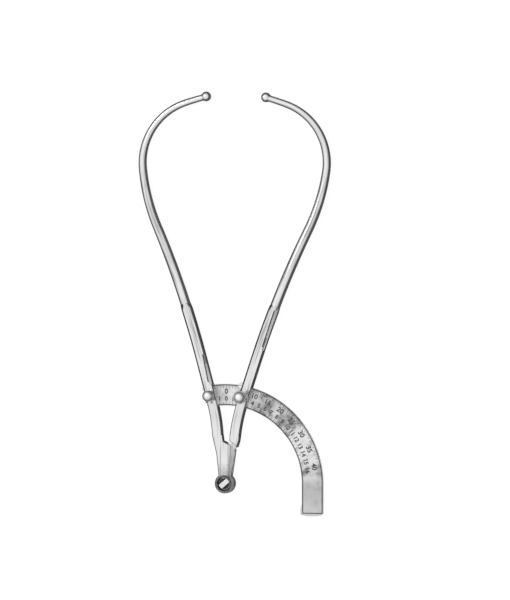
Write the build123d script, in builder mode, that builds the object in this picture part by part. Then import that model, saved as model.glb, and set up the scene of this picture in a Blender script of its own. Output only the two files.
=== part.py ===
from build123d import *
import os
from math import asin, cos, degrees, hypot, radians, sin, sqrt

# Pelvimeter: two bent arms hinged at the bottom, with a quadrant scale between them
# It lies on its back: +Y runs from the hinge to the tips, +X to the moving arm, +Z to the front
# The origin is on the hinge axis, in the back face

# Clearances
RUN_GAP = 0.05
PRESS_GAP = 0.02
SIDE_GAP = 0.3
CUT_OVER = 1.0

# Arms: section sizes
ARM_T = 8.4
BAR_W = 8.2
BAR_BREAK = 0.8
ROD_ROOT_D = 8.4
ROD_TIP_D = 5.2
ROD_TAPER_POWER = 1.3
ROD_STATIONS = 23

# Arms: the centreline, from the foot of the leg up to the ball, leans measured from +Y
FOOT_X = 7.3
FOOT_Y = 39.0
FOOT_LEAN = 5.0
LEG_BEND_R = 139.0
SHANK_LEAN = 16.5
SHANK_LENGTH = 37.1
BOW_R = 730.0
BAR_TOP_LEAN = 19.6
BAR_END_LENGTH = 7.0
SHAFT_LEAN = 24.5
SHAFT_LENGTH = 6.0
SHOULDER_R = 160.0
BELLY_LEAN = 7.0
BELLY_R = 51.0
CROOK_LEAN = -68.5
CROOK_R = 110.0
TIP_LEAN = -73.0
TIP_LENGTH = 12.2

# Turned shoulder where the square bar becomes the round rod
SHOULDER_SLOPE = 14.0
SHOULDER_RING_W = 1.6

# Bevels on the front edges of the bars
BEVEL_W = 2.3
OUTER_BEVEL_LENGTH = 36.0
INNER_BEVEL_LENGTH = 27.0

# Tip balls
BALL_D = 8.0
SPIGOT_D = 3.0
SPIGOT_LENGTH = 4.0
SPIGOT_END_GAP = 0.2

# Hinge
EYE_D = 16.2
BOSS_RISE = 0.7
BOSS_BREAK = 0.4
BOSS_BEVEL_W = 2.0
BOSS_BEVEL_H = 1.4
CHEEK_T = 2.5
JOINT_WASHER_T = 0.2
JOINT_WASHER_D = 14.4
TONGUE_EYE_D = 14.8
FORK_RELIEF_R = 12.5
HEAD_BREAK = 0.5
HEAD_RIDGE_X = 1.8
HEAD_FACET_W = 3.1
HEAD_FACET_DROP = 0.4
HEAD_EDGE_SLOPE_SHARE = 0.5
PIVOT_D = 5.0
PIVOT_THREAD_D = 4.0
PIVOT_HEAD_D = 9.2
PIVOT_HEAD_T = 1.9
PIVOT_HEAD_BREAK = 0.3
PIVOT_BAR_W = 3.8
PIVOT_BAR_RISE = 1.0
PIVOT_BAR_TURN = 42.0
PIVOT_RECESS_D = 11.8
PIVOT_RECESS_DEPTH = 2.0
SPRING_WASHER_D = 9.8
SPRING_WASHER_T = 0.3
SPRING_WASHER_RISE = 0.15
NUT_D = 9.0
NUT_T = 1.6
NUT_HOLE_D = 1.2
NUT_HOLE_CIRCLE_D = 6.4

# Outline of the fork head, as shares of the eye diameter across and of the foot height up
HEAD_OUTER_SHARES = ((-0.309, 0.128), (-0.463, 0.623))
HEAD_INNER_SHARES = ((-0.160, 0.897), (0.216, 0.8205), (0.475, 0.708), (0.459, 0.623), (0.315, 0.128))
TONGUE_INNER_SHARES = ((-0.222, 0.154), (0.0, 0.623), (0.166, 0.930))
TONGUE_OUTER_SHARES = ((0.575, 0.860), (0.426, 0.623), (0.302, 0.154))
LEG_END_SHARES = ((0.204, 0.905), (0.463, 0.8205), (0.586, 0.767), (0.673, 0.897))

# Scale
SCALE_IN_R = 63.7
SCALE_W = 17.7
SCALE_T = 1.2
SCALE_BACK_WALL = 2.7
SCALE_ROOT_ANGLE = 12.6
SCALE_OVER_ANGLE = 4.4
SCALE_END_LENGTH = 24.8
SCALE_END_BULGE = 1.2
SCALE_END_FILLET_SHARE = 0.142
SCALE_STOP_RISE = 1.1
SCALE_STOP_LENGTH = 9.0
SCALE_STOP_RAMP = 5.0

# Swing of the moving arm either way from the drawn opening
CLOSING_ANGLE = 7.5
OPENING_ANGLE = 73.0

# Fixing screw and steady pin of the scale
FIX_SHANK_D = 4.0
FIX_COLLAR_D = 6.6
FIX_COLLAR_T = 1.0
FIX_NECK_D = 3.6
FIX_NECK_LENGTH = 1.8
FIX_BALL_D = 9.6
FIX_END_SET = 0.4
STEADY_D = 2.0
STEADY_INSET = 3.4
STEADY_LENGTH = 5.6

# Clamp screw, its bush and its shoe
CLAMP_TRAVEL = 0.5
CLAMP_SHANK_D = 4.0
CLAMP_TIP_D = 2.5
CLAMP_TIP_LENGTH = 0.6
CLAMP_NECK_D = 3.8
CLAMP_NECK_LENGTH = 9.2
CLAMP_BALL_D = 9.8
KNURL_D = 10.9
KNURL_T = 2.2
KNURL_BREAK = 0.4
KNURL_CUT_D = 0.9
KNURL_COUNT = 28
BUSH_D = 6.0
BUSH_FLANGE_D = 8.4
BUSH_FLANGE_T = 0.8
BUSH_BREAK = 0.25
SHOE_T = 1.0
SHOE_ANGLE = 3.4

# Index pointer on the moving arm
POINTER_LENGTH = 4.4
POINTER_REACH = 2.8
POINTER_NOSE_W = 0.5
POINTER_FRONT_SET = 1.3
POINTER_ABOVE_SCALE = 0.15
POINTER_INSET = 0.6
POINTER_SCREW_D = 1.2
POINTER_SCREW_DEPTH = 2.6
POINTER_HEAD_D = 2.0
POINTER_HEAD_T = 0.6

# Levels and radii worked out from the sizes above
ARM_MID = ARM_T / 2
TONGUE_T = ARM_T - 2 * CHEEK_T - 2 * JOINT_WASHER_T
TONGUE_Z = CHEEK_T + JOINT_WASHER_T
BOSS_TOP = ARM_T + BOSS_RISE
RECESS_FLOOR = BOSS_TOP - PIVOT_RECESS_DEPTH
PIVOT_SEAT = RECESS_FLOOR + SPRING_WASHER_T + SPRING_WASHER_RISE
HEAD_EDGE_Z = ARM_T - HEAD_FACET_DROP - HEAD_FACET_W * HEAD_EDGE_SLOPE_SHARE
SCALE_Z = SCALE_BACK_WALL + RUN_GAP
SCALE_TOP = SCALE_Z + SCALE_T
SHOE_Z = SCALE_TOP + RUN_GAP
SHOE_TOP = SHOE_Z + SHOE_T
GUIDE_TOP = SHOE_TOP + CLAMP_TRAVEL + 2 * RUN_GAP
SCALE_OUT_R = SCALE_IN_R + SCALE_W
SCALE_MID_R = SCALE_IN_R + SCALE_W / 2
BALL_SEAT = sqrt((BALL_D / 2) ** 2 - (ROD_TIP_D / 2) ** 2)
UP = Vector(0, 0, 1)


def along(side, lean):
    """Direction up an arm that leans away from +Y towards its own side."""
    return Vector(side * sin(radians(lean)), cos(radians(lean)), 0)


def outward(side, lean):
    """Direction square to the arm, in the flat, away from the other arm."""
    return Vector(side * cos(radians(lean)), -sin(radians(lean)), 0)


def section_plane(point, side, lean):
    """Plane across the arm: local x points outward and local y to the front."""
    across = outward(side, lean)
    return Plane(origin=point, x_dir=across, z_dir=across.cross(UP))


def flat_plane(point, side, lean):
    """Plane in the flat of the arm: local x points outward and local y up the arm."""
    return Plane(origin=point, x_dir=outward(side, lean), z_dir=UP * side)


def upright_plane(point):
    """Upright plane through a point: local x is +X and local y is +Z."""
    return Plane(origin=(point.X, point.Y, 0), x_dir=(1, 0, 0), z_dir=(0, -1, 0))


def turned(point, angle):
    """The point swung about the hinge axis, anticlockwise seen from the front."""
    turn = radians(angle)
    return Vector(point.X * cos(turn) - point.Y * sin(turn), point.X * sin(turn) + point.Y * cos(turn), 0)


def head_points(shares):
    """Outline points from shares of the eye diameter and of the foot height."""
    return [Vector(across * EYE_D, up * FOOT_Y, 0) for across, up in shares]


def bar_lines(side):
    """The bar's centreline: bend above the foot, straight shank, start of the bow."""
    foot = Vector(side * FOOT_X, FOOT_Y, ARM_MID)
    with BuildLine() as path:
        bend = JernArc(foot, along(side, FOOT_LEAN), LEG_BEND_R, side * (FOOT_LEAN - SHANK_LEAN))
        shank = Line(bend @ 1, (bend @ 1) + along(side, SHANK_LEAN) * SHANK_LENGTH)
        bow = JernArc(shank @ 1, along(side, SHANK_LEAN), BOW_R, side * (SHANK_LEAN - BAR_TOP_LEAN))
        Line(bow @ 1, (bow @ 1) + along(side, BAR_TOP_LEAN) * BAR_END_LENGTH)
    return path.wire()


def rod_lines(side, start):
    """The rod's centreline, from the top of the bar to the seat of the ball."""
    with BuildLine() as path:
        bow = JernArc(start, along(side, BAR_TOP_LEAN), BOW_R, side * (BAR_TOP_LEAN - SHAFT_LEAN))
        shaft = Line(bow @ 1, (bow @ 1) + along(side, SHAFT_LEAN) * SHAFT_LENGTH)
        shoulder = JernArc(shaft @ 1, along(side, SHAFT_LEAN), SHOULDER_R, side * (SHAFT_LEAN - BELLY_LEAN))
        belly = JernArc(shoulder @ 1, along(side, BELLY_LEAN), BELLY_R, side * (BELLY_LEAN - CROOK_LEAN))
        crook = JernArc(belly @ 1, along(side, CROOK_LEAN), CROOK_R, side * (CROOK_LEAN - TIP_LEAN))
        Line(crook @ 1, (crook @ 1) + along(side, TIP_LEAN) * (TIP_LENGTH - BALL_SEAT))
    return path.wire()


def rod_diameter(share):
    """The rod thins slowly above the bar and faster towards the tip."""
    return ROD_ROOT_D - (ROD_ROOT_D - ROD_TIP_D) * share**ROD_TAPER_POWER


def point_on(path, share):
    """Point and direction at a share of the path's length."""
    length = share * path.length
    return (
        path.position_at(length, position_mode=PositionMode.LENGTH),
        path.tangent_at(length, position_mode=PositionMode.LENGTH),
    )


# Places that both arms and the scale share
BAR_PATHS = {side: bar_lines(side) for side in (-1, 1)}
BAR_TOPS = {side: BAR_PATHS[side] @ 1 for side in (-1, 1)}
ROD_PATHS = {side: rod_lines(side, BAR_TOPS[side]) for side in (-1, 1)}
ROD_ENDS = {side: ROD_PATHS[side] @ 1 for side in (-1, 1)}

# The shank crosses the middle of the scale at this distance above its lower end
SHANK_START = {side: BAR_PATHS[side].edges().sort_by(Axis.Y)[1] @ 0 for side in (-1, 1)}


def shank_point(side, radius):
    """Point of the straight shank's centreline at a distance from the hinge axis."""
    start = Vector(SHANK_START[side].X, SHANK_START[side].Y, 0)
    rise = start.dot(along(side, SHANK_LEAN))
    offset = hypot(start.X, start.Y) ** 2 - rise**2
    return start + along(side, SHANK_LEAN) * (sqrt(radius**2 - offset) - rise)


FIX_POINT = shank_point(-1, SCALE_MID_R)
CLAMP_POINT = shank_point(1, SCALE_MID_R)
SHANK_ANGLE = degrees(asin(CLAMP_POINT.X / SCALE_MID_R))

# The curved part of the scale ends just beyond the moving arm at its widest opening
SCALE_BEND_ANGLE = SHANK_ANGLE + OPENING_ANGLE + SCALE_OVER_ANGLE


def ring_sector(inner_r, outer_r, start, end, level, height):
    """Flat ring sector about the hinge axis, between two angles from +X, made thick."""
    with BuildPart() as sector:
        with BuildSketch(Plane.XY.offset(level)):
            with BuildLine():
                rim = CenterArc((0, 0), outer_r, start, end - start)
                hub = CenterArc((0, 0), inner_r, start, end - start)
                Line(rim @ 0, hub @ 0)
                Line(rim @ 1, hub @ 1)
            make_face()
        extrude(amount=height)
    return sector


def make_limb(side):
    """Square bar, turned shoulder, tapering round rod and the spigot for the ball."""
    ring_reach = ROD_ROOT_D / 2 + SHOULDER_RING_W
    slope_run = SHOULDER_RING_W * cos(radians(SHOULDER_SLOPE)) / sin(radians(SHOULDER_SLOPE))
    bend_turn = side * (FOOT_LEAN - SHANK_LEAN)
    bow_turn = side * (SHANK_LEAN - BAR_TOP_LEAN)
    with BuildPart() as limb:
        with BuildSketch(Plane.XY):
            with BuildLine():
                ends = []
                for shift in (-BAR_W / 2, BAR_W / 2):
                    start = Vector(side * FOOT_X, FOOT_Y, 0) + outward(side, FOOT_LEAN) * shift
                    bend = JernArc(start, along(side, FOOT_LEAN), LEG_BEND_R - shift, bend_turn)
                    shank = Line(bend @ 1, (bend @ 1) + along(side, SHANK_LEAN) * SHANK_LENGTH)
                    bow = JernArc(shank @ 1, along(side, SHANK_LEAN), BOW_R - shift, bow_turn)
                    top = Line(bow @ 1, (bow @ 1) + along(side, BAR_TOP_LEAN) * BAR_END_LENGTH)
                    ends.append((start, top @ 1))
                Line(ends[0][0], ends[1][0])
                Line(ends[0][1], ends[1][1])
            make_face()
        extrude(amount=ARM_T)
        levels = limb.edges().group_by(Axis.Z)
        long_edges = [edge for level in (levels[0], levels[-1]) for edge in level.sort_by(Axis.Y)[1:-1]]
        chamfer(long_edges, BAR_BREAK)
        with BuildSketch(flat_plane(BAR_TOPS[side], side, BAR_TOP_LEAN)):
            with BuildLine():
                Polyline(
                    (ROD_ROOT_D / 2, CUT_OVER),
                    (ROD_ROOT_D / 2, 0),
                    (ring_reach, -slope_run),
                    (ring_reach, CUT_OVER),
                    close=True,
                )
            make_face()
        revolve(axis=Axis(BAR_TOPS[side], along(side, BAR_TOP_LEAN)), mode=Mode.SUBTRACT)
        for station in range(ROD_STATIONS):
            share = station / (ROD_STATIONS - 1)
            point, direction = point_on(ROD_PATHS[side], share)
            with BuildSketch(Plane(origin=point, x_dir=UP, z_dir=direction)):
                Circle(rod_diameter(share) / 2)
        loft()
        with BuildSketch(Plane(origin=ROD_ENDS[side], x_dir=UP, z_dir=along(side, TIP_LEAN))):
            Circle(SPIGOT_D / 2)
        extrude(amount=SPIGOT_LENGTH - SPIGOT_END_GAP)
    return limb


def make_bevel(side, edge, top, lean, length, top_width, end_width):
    """What a bevel takes off a front edge of the bar, from a point down, between two widths."""
    with BuildPart() as bevel:
        for point, width in ((top, top_width), (top - along(side, lean) * length, end_width)):
            with BuildSketch(section_plane(point, side, lean)):
                with BuildLine():
                    Polyline(
                        (edge * (BAR_W / 2 - width), ARM_T / 2 + CUT_OVER),
                        (edge * (BAR_W / 2 - width), ARM_T / 2),
                        (edge * BAR_W / 2, ARM_T / 2 - width),
                        (edge * (BAR_W / 2 + CUT_OVER), ARM_T / 2 - width),
                        (edge * (BAR_W / 2 + CUT_OVER), ARM_T / 2 + CUT_OVER),
                        close=True,
                    )
                make_face()
        loft(ruled=True)
    return bevel


# Left arm: fork head, leg with the scale's seat, bar and rod
foot_left = {
    "outer": Vector(-FOOT_X, FOOT_Y, 0) + outward(-1, FOOT_LEAN) * BAR_W / 2,
    "inner": Vector(-FOOT_X, FOOT_Y, 0) - outward(-1, FOOT_LEAN) * BAR_W / 2,
}
tongue_closed = [turned(point, CLOSING_ANGLE) for point in head_points(TONGUE_INNER_SHARES)]
steady_point = shank_point(-1, SCALE_IN_R + STEADY_INSET)
left_limb = make_limb(-1)
left_bevel = make_bevel(
    -1, -1, shank_point(-1, SCALE_OUT_R) + UP * ARM_MID + along(-1, SHANK_LEAN) * INNER_BEVEL_LENGTH,
    SHANK_LEAN, INNER_BEVEL_LENGTH, BAR_BREAK, BEVEL_W,
)
scale_seat = ring_sector(
    SCALE_IN_R - PRESS_GAP,
    SCALE_OUT_R + PRESS_GAP,
    90,
    90 + SCALE_ROOT_ANGLE,
    SCALE_Z - PRESS_GAP,
    SCALE_T + 2 * PRESS_GAP,
)
with BuildPart() as left_arm:
    with BuildSketch(Plane.XY):
        with BuildLine():
            Polyline(
                *head_points(HEAD_OUTER_SHARES),
                foot_left["outer"],
                foot_left["inner"],
                *head_points(HEAD_INNER_SHARES),
                close=True,
            )
        make_face()
    extrude(amount=ARM_T)
    with BuildSketch(Plane.XZ):
        with BuildLine():
            Polyline(
                (HEAD_RIDGE_X, ARM_T),
                (HEAD_RIDGE_X + HEAD_FACET_W, ARM_T - HEAD_FACET_DROP),
                (HEAD_RIDGE_X + 2 * HEAD_FACET_W, HEAD_EDGE_Z),
                (HEAD_RIDGE_X + 2 * HEAD_FACET_W, ARM_T + CUT_OVER),
                (HEAD_RIDGE_X, ARM_T + CUT_OVER),
                close=True,
            )
        make_face()
    extrude(amount=-FOOT_Y, mode=Mode.SUBTRACT)
    levels = left_arm.edges().group_by(Axis.Z)
    rim_edges = (levels[0] + levels[-1]).filter_by(
        lambda edge: edge.center().X < 0 and FOOT_Y - BAR_W / 2 > edge.center().Y > EYE_D / 4
    )
    chamfer(rim_edges, BAR_BREAK)
    with BuildSketch(Plane.XZ):
        with BuildLine():
            Polyline(
                (0, 0),
                (EYE_D / 2 - BOSS_BREAK, 0),
                (EYE_D / 2, BOSS_BREAK),
                (EYE_D / 2, BOSS_TOP - BOSS_BEVEL_H),
                (EYE_D / 2 - BOSS_BEVEL_W, BOSS_TOP),
                (0, BOSS_TOP),
                close=True,
            )
        make_face()
    revolve(axis=Axis.Z)
    add(left_limb.part)
    add(left_bevel.part, mode=Mode.SUBTRACT)
    with BuildSketch(Plane.XY.offset(CHEEK_T)):
        with BuildLine():
            Polyline(
                *[point - Vector(SIDE_GAP, 0, 0) for point in tongue_closed],
                Vector(tongue_closed[-1].X - SIDE_GAP, FOOT_Y, 0),
                Vector(FOOT_Y, FOOT_Y, 0),
                Vector(FOOT_Y, tongue_closed[0].Y, 0),
                close=True,
            )
        make_face()
        Circle(FORK_RELIEF_R)
    extrude(amount=ARM_T - 2 * CHEEK_T, mode=Mode.SUBTRACT)
    with Locations((0, 0, BOSS_TOP)):
        CounterBoreHole(PIVOT_D / 2 + RUN_GAP, PIVOT_RECESS_D / 2, PIVOT_RECESS_DEPTH)
    with BuildSketch(Plane.XY):
        Circle(NUT_D / 2 + PRESS_GAP)
    extrude(amount=NUT_T, mode=Mode.SUBTRACT)
    add(scale_seat.part, mode=Mode.SUBTRACT)
    with Locations((FIX_POINT.X, FIX_POINT.Y, ARM_T)):
        Hole(FIX_SHANK_D / 2 + PRESS_GAP)
    with Locations((steady_point.X, steady_point.Y, STEADY_LENGTH)):
        Hole(STEADY_D / 2 + PRESS_GAP, STEADY_LENGTH)

# Seat and screw line of the index pointer, on the inner side of the moving arm
pointer_seat = shank_point(1, SCALE_OUT_R - POINTER_INSET) - outward(1, SHANK_LEAN) * BAR_W / 2
POINTER_Z = SCALE_TOP + POINTER_ABOVE_SCALE
POINTER_TOP = ARM_T - POINTER_FRONT_SET
POINTER_SCREW_Z = (GUIDE_TOP + ARM_T - BAR_BREAK) / 2
screw_plane = Plane(
    origin=pointer_seat - outward(1, SHANK_LEAN) * POINTER_REACH + UP * POINTER_SCREW_Z,
    x_dir=UP,
    z_dir=outward(1, SHANK_LEAN),
)

# Right arm: eye and tongue, leg with the scale's guide slot, bar and rod
foot_right = {
    "outer": Vector(FOOT_X, FOOT_Y, 0) + outward(1, FOOT_LEAN) * BAR_W / 2,
    "inner": Vector(FOOT_X, FOOT_Y, 0) - outward(1, FOOT_LEAN) * BAR_W / 2,
}
right_limb = make_limb(1)
right_bevel = make_bevel(
    1, 1, BAR_TOPS[1] - along(1, BAR_TOP_LEAN) * CUT_OVER,
    BAR_TOP_LEAN, OUTER_BEVEL_LENGTH, BEVEL_W, BAR_BREAK,
)
scale_guide = ring_sector(
    SCALE_IN_R - SIDE_GAP,
    SCALE_OUT_R + SIDE_GAP,
    90 - 2 * SHANK_ANGLE,
    90,
    SCALE_BACK_WALL,
    GUIDE_TOP - SCALE_BACK_WALL,
)
with BuildPart() as right_arm:
    with BuildSketch(Plane.XY):
        with BuildLine():
            Polyline(foot_right["inner"], *head_points(LEG_END_SHARES), foot_right["outer"], close=True)
        make_face()
    extrude(amount=ARM_T)
    levels = right_arm.edges().group_by(Axis.Z)
    leg_rims = (levels[0] + levels[-1]).filter_by(lambda edge: edge.center().Y < FOOT_Y - HEAD_BREAK)
    chamfer(leg_rims, HEAD_BREAK)
    with BuildSketch(Plane.XY.offset(TONGUE_Z)):
        with BuildLine():
            Polyline(*head_points(TONGUE_INNER_SHARES), *head_points(TONGUE_OUTER_SHARES), close=True)
        make_face()
        Circle(TONGUE_EYE_D / 2)
    extrude(amount=TONGUE_T)
    add(right_limb.part)
    add(right_bevel.part, mode=Mode.SUBTRACT)
    add(scale_guide.part, mode=Mode.SUBTRACT)
    with Locations((CLAMP_POINT.X, CLAMP_POINT.Y, ARM_T)):
        Hole(BUSH_D / 2 + PRESS_GAP, ARM_T - GUIDE_TOP + RUN_GAP)
    with Locations((0, 0, TONGUE_Z + TONGUE_T)):
        Hole(PIVOT_D / 2 + RUN_GAP)
    with BuildSketch(screw_plane.offset(POINTER_REACH)):
        Circle(POINTER_SCREW_D / 2 + PRESS_GAP)
    extrude(amount=POINTER_SCREW_DEPTH + RUN_GAP, mode=Mode.SUBTRACT)


def make_ball(side):
    """Tip ball with a flat seat and a blind bore for the rod's spigot."""
    bore_r = SPIGOT_D / 2 + PRESS_GAP
    with BuildPart() as ball:
        with BuildSketch(flat_plane(ROD_ENDS[side], side, TIP_LEAN)):
            with BuildLine():
                ThreePointArc((ROD_TIP_D / 2, 0), (BALL_D / 2, BALL_SEAT), (0, BALL_SEAT + BALL_D / 2))
                Polyline(
                    (0, BALL_SEAT + BALL_D / 2),
                    (0, SPIGOT_LENGTH),
                    (bore_r, SPIGOT_LENGTH),
                    (bore_r, 0),
                    (ROD_TIP_D / 2, 0),
                )
            make_face()
        revolve(axis=Axis(ROD_ENDS[side], along(side, TIP_LEAN)))
    return ball


left_tip_ball = make_ball(-1)
right_tip_ball = make_ball(1)

# Pivot screw of the hinge, with a bar across its head for the key
with BuildPart() as hinge_screw:
    with BuildSketch(Plane.XY.offset(PIVOT_SEAT)):
        Circle(PIVOT_HEAD_D / 2)
    extrude(amount=PIVOT_HEAD_T)
    chamfer(hinge_screw.edges().group_by(Axis.Z)[-1], PIVOT_HEAD_BREAK)
    with BuildSketch(Plane.XY.offset(NUT_T)):
        Circle(PIVOT_D / 2)
    extrude(amount=PIVOT_SEAT - NUT_T)
    with BuildSketch(Plane.XY):
        Circle(PIVOT_THREAD_D / 2)
    extrude(amount=NUT_T)
    with BuildSketch(Plane.XY.offset(PIVOT_SEAT + PIVOT_HEAD_T - PIVOT_BAR_RISE)):
        Circle(PIVOT_HEAD_D / 2 + CUT_OVER)
        Rectangle(PIVOT_HEAD_D + 2 * CUT_OVER, PIVOT_BAR_W, rotation=PIVOT_BAR_TURN, mode=Mode.SUBTRACT)
    extrude(amount=PIVOT_BAR_RISE + CUT_OVER, mode=Mode.SUBTRACT)

# Dished spring washer under the screw's head
with BuildPart() as hinge_spring_washer:
    with BuildSketch(Plane.XZ):
        with BuildLine():
            Polyline(
                (PIVOT_D / 2 + PRESS_GAP, RECESS_FLOOR + SPRING_WASHER_RISE),
                (SPRING_WASHER_D / 2, RECESS_FLOOR),
                (SPRING_WASHER_D / 2, RECESS_FLOOR + SPRING_WASHER_T),
                (PIVOT_D / 2 + PRESS_GAP, PIVOT_SEAT),
                close=True,
            )
        make_face()
    revolve(axis=Axis.Z)


def make_joint_washer(level):
    """Thin friction washer between a cheek of the fork and the tongue."""
    with BuildPart() as washer:
        with BuildSketch(Plane.XY.offset(level)):
            Circle(JOINT_WASHER_D / 2)
            Circle(PIVOT_D / 2 + PRESS_GAP, mode=Mode.SUBTRACT)
        extrude(amount=JOINT_WASHER_T)
    return washer


back_joint_washer = make_joint_washer(CHEEK_T)
front_joint_washer = make_joint_washer(TONGUE_Z + TONGUE_T)

# Round nut let into the back cheek, with two holes for its key
with BuildPart() as hinge_nut:
    with BuildSketch(Plane.XY):
        Circle(NUT_D / 2)
        Circle(PIVOT_THREAD_D / 2 + PRESS_GAP, mode=Mode.SUBTRACT)
        with PolarLocations(NUT_HOLE_CIRCLE_D / 2, 2):
            Circle(NUT_HOLE_D / 2, mode=Mode.SUBTRACT)
    extrude(amount=NUT_T)

# Scale: quadrant about the hinge axis with a straight end and a stop lug
END_DIRECTION = Vector(sin(radians(90 - SCALE_BEND_ANGLE)), -cos(radians(90 - SCALE_BEND_ANGLE)), 0)
END_OUTWARD = Vector(cos(radians(90 - SCALE_BEND_ANGLE)), sin(radians(90 - SCALE_BEND_ANGLE)), 0)
with BuildPart() as scale_band:
    with BuildSketch(Plane.XY.offset(SCALE_Z)):
        with BuildLine():
            start = 90 - SCALE_BEND_ANGLE
            sweep_angle = SCALE_BEND_ANGLE + SCALE_ROOT_ANGLE - PRESS_GAP
            rim = CenterArc((0, 0), SCALE_OUT_R, start, sweep_angle)
            hub = CenterArc((0, 0), SCALE_IN_R, start, sweep_angle)
            Line(rim @ 1, hub @ 1)
            outer_end = (rim @ 0) + END_DIRECTION * SCALE_END_LENGTH
            lug_start = (hub @ 0) + END_DIRECTION * (SCALE_END_LENGTH - SCALE_STOP_LENGTH)
            lug_top = lug_start + END_DIRECTION * SCALE_STOP_RAMP - END_OUTWARD * SCALE_STOP_RISE
            lug_end = (hub @ 0) + END_DIRECTION * SCALE_END_LENGTH - END_OUTWARD * SCALE_STOP_RISE
            end_mid = (outer_end + lug_end) / 2 + END_DIRECTION * SCALE_END_BULGE
            Line(rim @ 0, outer_end)
            ThreePointArc(outer_end, end_mid, lug_end)
            Polyline(lug_end, lug_top, lug_start, hub @ 0)
        make_face()
    extrude(amount=SCALE_T)
    end_corner = scale_band.edges().filter_by(Axis.Z).sort_by(Axis.Y)[0:2].sort_by(Axis.X)[-1]
    fillet(end_corner, SCALE_END_FILLET_SHARE * SCALE_W)
    with Locations((FIX_POINT.X, FIX_POINT.Y, SCALE_TOP)):
        Hole(FIX_SHANK_D / 2 + PRESS_GAP)
    with Locations((steady_point.X, steady_point.Y, SCALE_TOP)):
        Hole(STEADY_D / 2 + PRESS_GAP)

# Ball-headed screw that fixes the scale in the left arm
FIX_NECK_TOP = ARM_T + FIX_COLLAR_T + FIX_NECK_LENGTH
FIX_BALL_Z = FIX_NECK_TOP + sqrt((FIX_BALL_D / 2) ** 2 - (FIX_NECK_D / 2) ** 2)
with BuildPart() as scale_screw:
    with BuildSketch(upright_plane(FIX_POINT)):
        with BuildLine():
            Polyline(
                (0, FIX_END_SET),
                (FIX_SHANK_D / 2, FIX_END_SET),
                (FIX_SHANK_D / 2, ARM_T),
                (FIX_COLLAR_D / 2, ARM_T),
                (FIX_COLLAR_D / 2, ARM_T + FIX_COLLAR_T),
                (FIX_NECK_D / 2, ARM_T + 2 * FIX_COLLAR_T),
                (FIX_NECK_D / 2, FIX_NECK_TOP),
                (0, FIX_NECK_TOP),
                close=True,
            )
        make_face()
    revolve(axis=Axis(FIX_POINT, UP))
    with Locations((FIX_POINT.X, FIX_POINT.Y, FIX_BALL_Z)):
        Sphere(FIX_BALL_D / 2)

# Steady pin that keeps the scale square in its seat
with BuildPart() as scale_steady_pin:
    with BuildSketch(Plane(origin=(steady_point.X, steady_point.Y, FIX_END_SET))):
        Circle(STEADY_D / 2)
    extrude(amount=STEADY_LENGTH - 2 * FIX_END_SET)

# Threaded bush in the front wall of the guide
with BuildPart() as clamp_bush:
    with BuildSketch(Plane(origin=(CLAMP_POINT.X, CLAMP_POINT.Y, GUIDE_TOP))):
        Circle(BUSH_D / 2)
    extrude(amount=ARM_T - GUIDE_TOP)
    with BuildSketch(Plane(origin=(CLAMP_POINT.X, CLAMP_POINT.Y, ARM_T))):
        Circle(BUSH_FLANGE_D / 2)
    extrude(amount=BUSH_FLANGE_T)
    chamfer(clamp_bush.edges().group_by(Axis.Z)[-1], BUSH_BREAK)
    with Locations((CLAMP_POINT.X, CLAMP_POINT.Y, ARM_T + BUSH_FLANGE_T)):
        Hole(CLAMP_SHANK_D / 2 + RUN_GAP)

# Clamp screw with a knurled ball head
CLAMP_NECK_Z = ARM_T + BUSH_FLANGE_T
CLAMP_NECK_TOP = CLAMP_NECK_Z + CLAMP_NECK_LENGTH
CLAMP_BALL_Z = CLAMP_NECK_TOP + sqrt((CLAMP_BALL_D / 2) ** 2 - (CLAMP_NECK_D / 2) ** 2)
CLAMP_TIP_Z = SHOE_TOP - CLAMP_TIP_LENGTH
with BuildPart() as clamp_screw:
    with BuildSketch(upright_plane(CLAMP_POINT)):
        with BuildLine():
            Polyline(
                (0, CLAMP_TIP_Z),
                (CLAMP_TIP_D / 2, CLAMP_TIP_Z),
                (CLAMP_TIP_D / 2, SHOE_TOP),
                (CLAMP_SHANK_D / 2, SHOE_TOP),
                (CLAMP_SHANK_D / 2, CLAMP_NECK_Z),
                (CLAMP_NECK_D / 2, CLAMP_NECK_Z + FIX_COLLAR_T),
                (CLAMP_NECK_D / 2, CLAMP_NECK_TOP),
                (0, CLAMP_NECK_TOP),
                close=True,
            )
        make_face()
    revolve(axis=Axis(CLAMP_POINT, UP))
    with Locations((CLAMP_POINT.X, CLAMP_POINT.Y, CLAMP_BALL_Z)):
        Sphere(CLAMP_BALL_D / 2)
    with BuildSketch(Plane(origin=(CLAMP_POINT.X, CLAMP_POINT.Y, CLAMP_BALL_Z - KNURL_T / 2))):
        Circle(KNURL_D / 2)
    extrude(amount=KNURL_T)
    knurl_rims = clamp_screw.edges().filter_by(GeomType.CIRCLE).filter_by(
        lambda edge: edge.radius > CLAMP_BALL_D / 2
    )
    chamfer(knurl_rims, KNURL_BREAK)
    with BuildSketch(Plane(origin=(CLAMP_POINT.X, CLAMP_POINT.Y, CLAMP_BALL_Z - KNURL_T / 2))):
        with PolarLocations(KNURL_D / 2, KNURL_COUNT):
            Rectangle(KNURL_CUT_D / sqrt(2), KNURL_CUT_D / sqrt(2), rotation=45)
    extrude(amount=KNURL_T, mode=Mode.SUBTRACT)

# Clamp shoe that the screw presses on the scale
shoe_blank = ring_sector(
    SCALE_IN_R,
    SCALE_OUT_R,
    90 - SHANK_ANGLE - SHOE_ANGLE / 2,
    90 - SHANK_ANGLE + SHOE_ANGLE / 2,
    SHOE_Z,
    SHOE_T,
)
with BuildPart() as clamp_shoe:
    add(shoe_blank.part)
    with Locations((CLAMP_POINT.X, CLAMP_POINT.Y, SHOE_TOP)):
        Hole(CLAMP_TIP_D / 2 + RUN_GAP, CLAMP_TIP_LENGTH)

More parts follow.
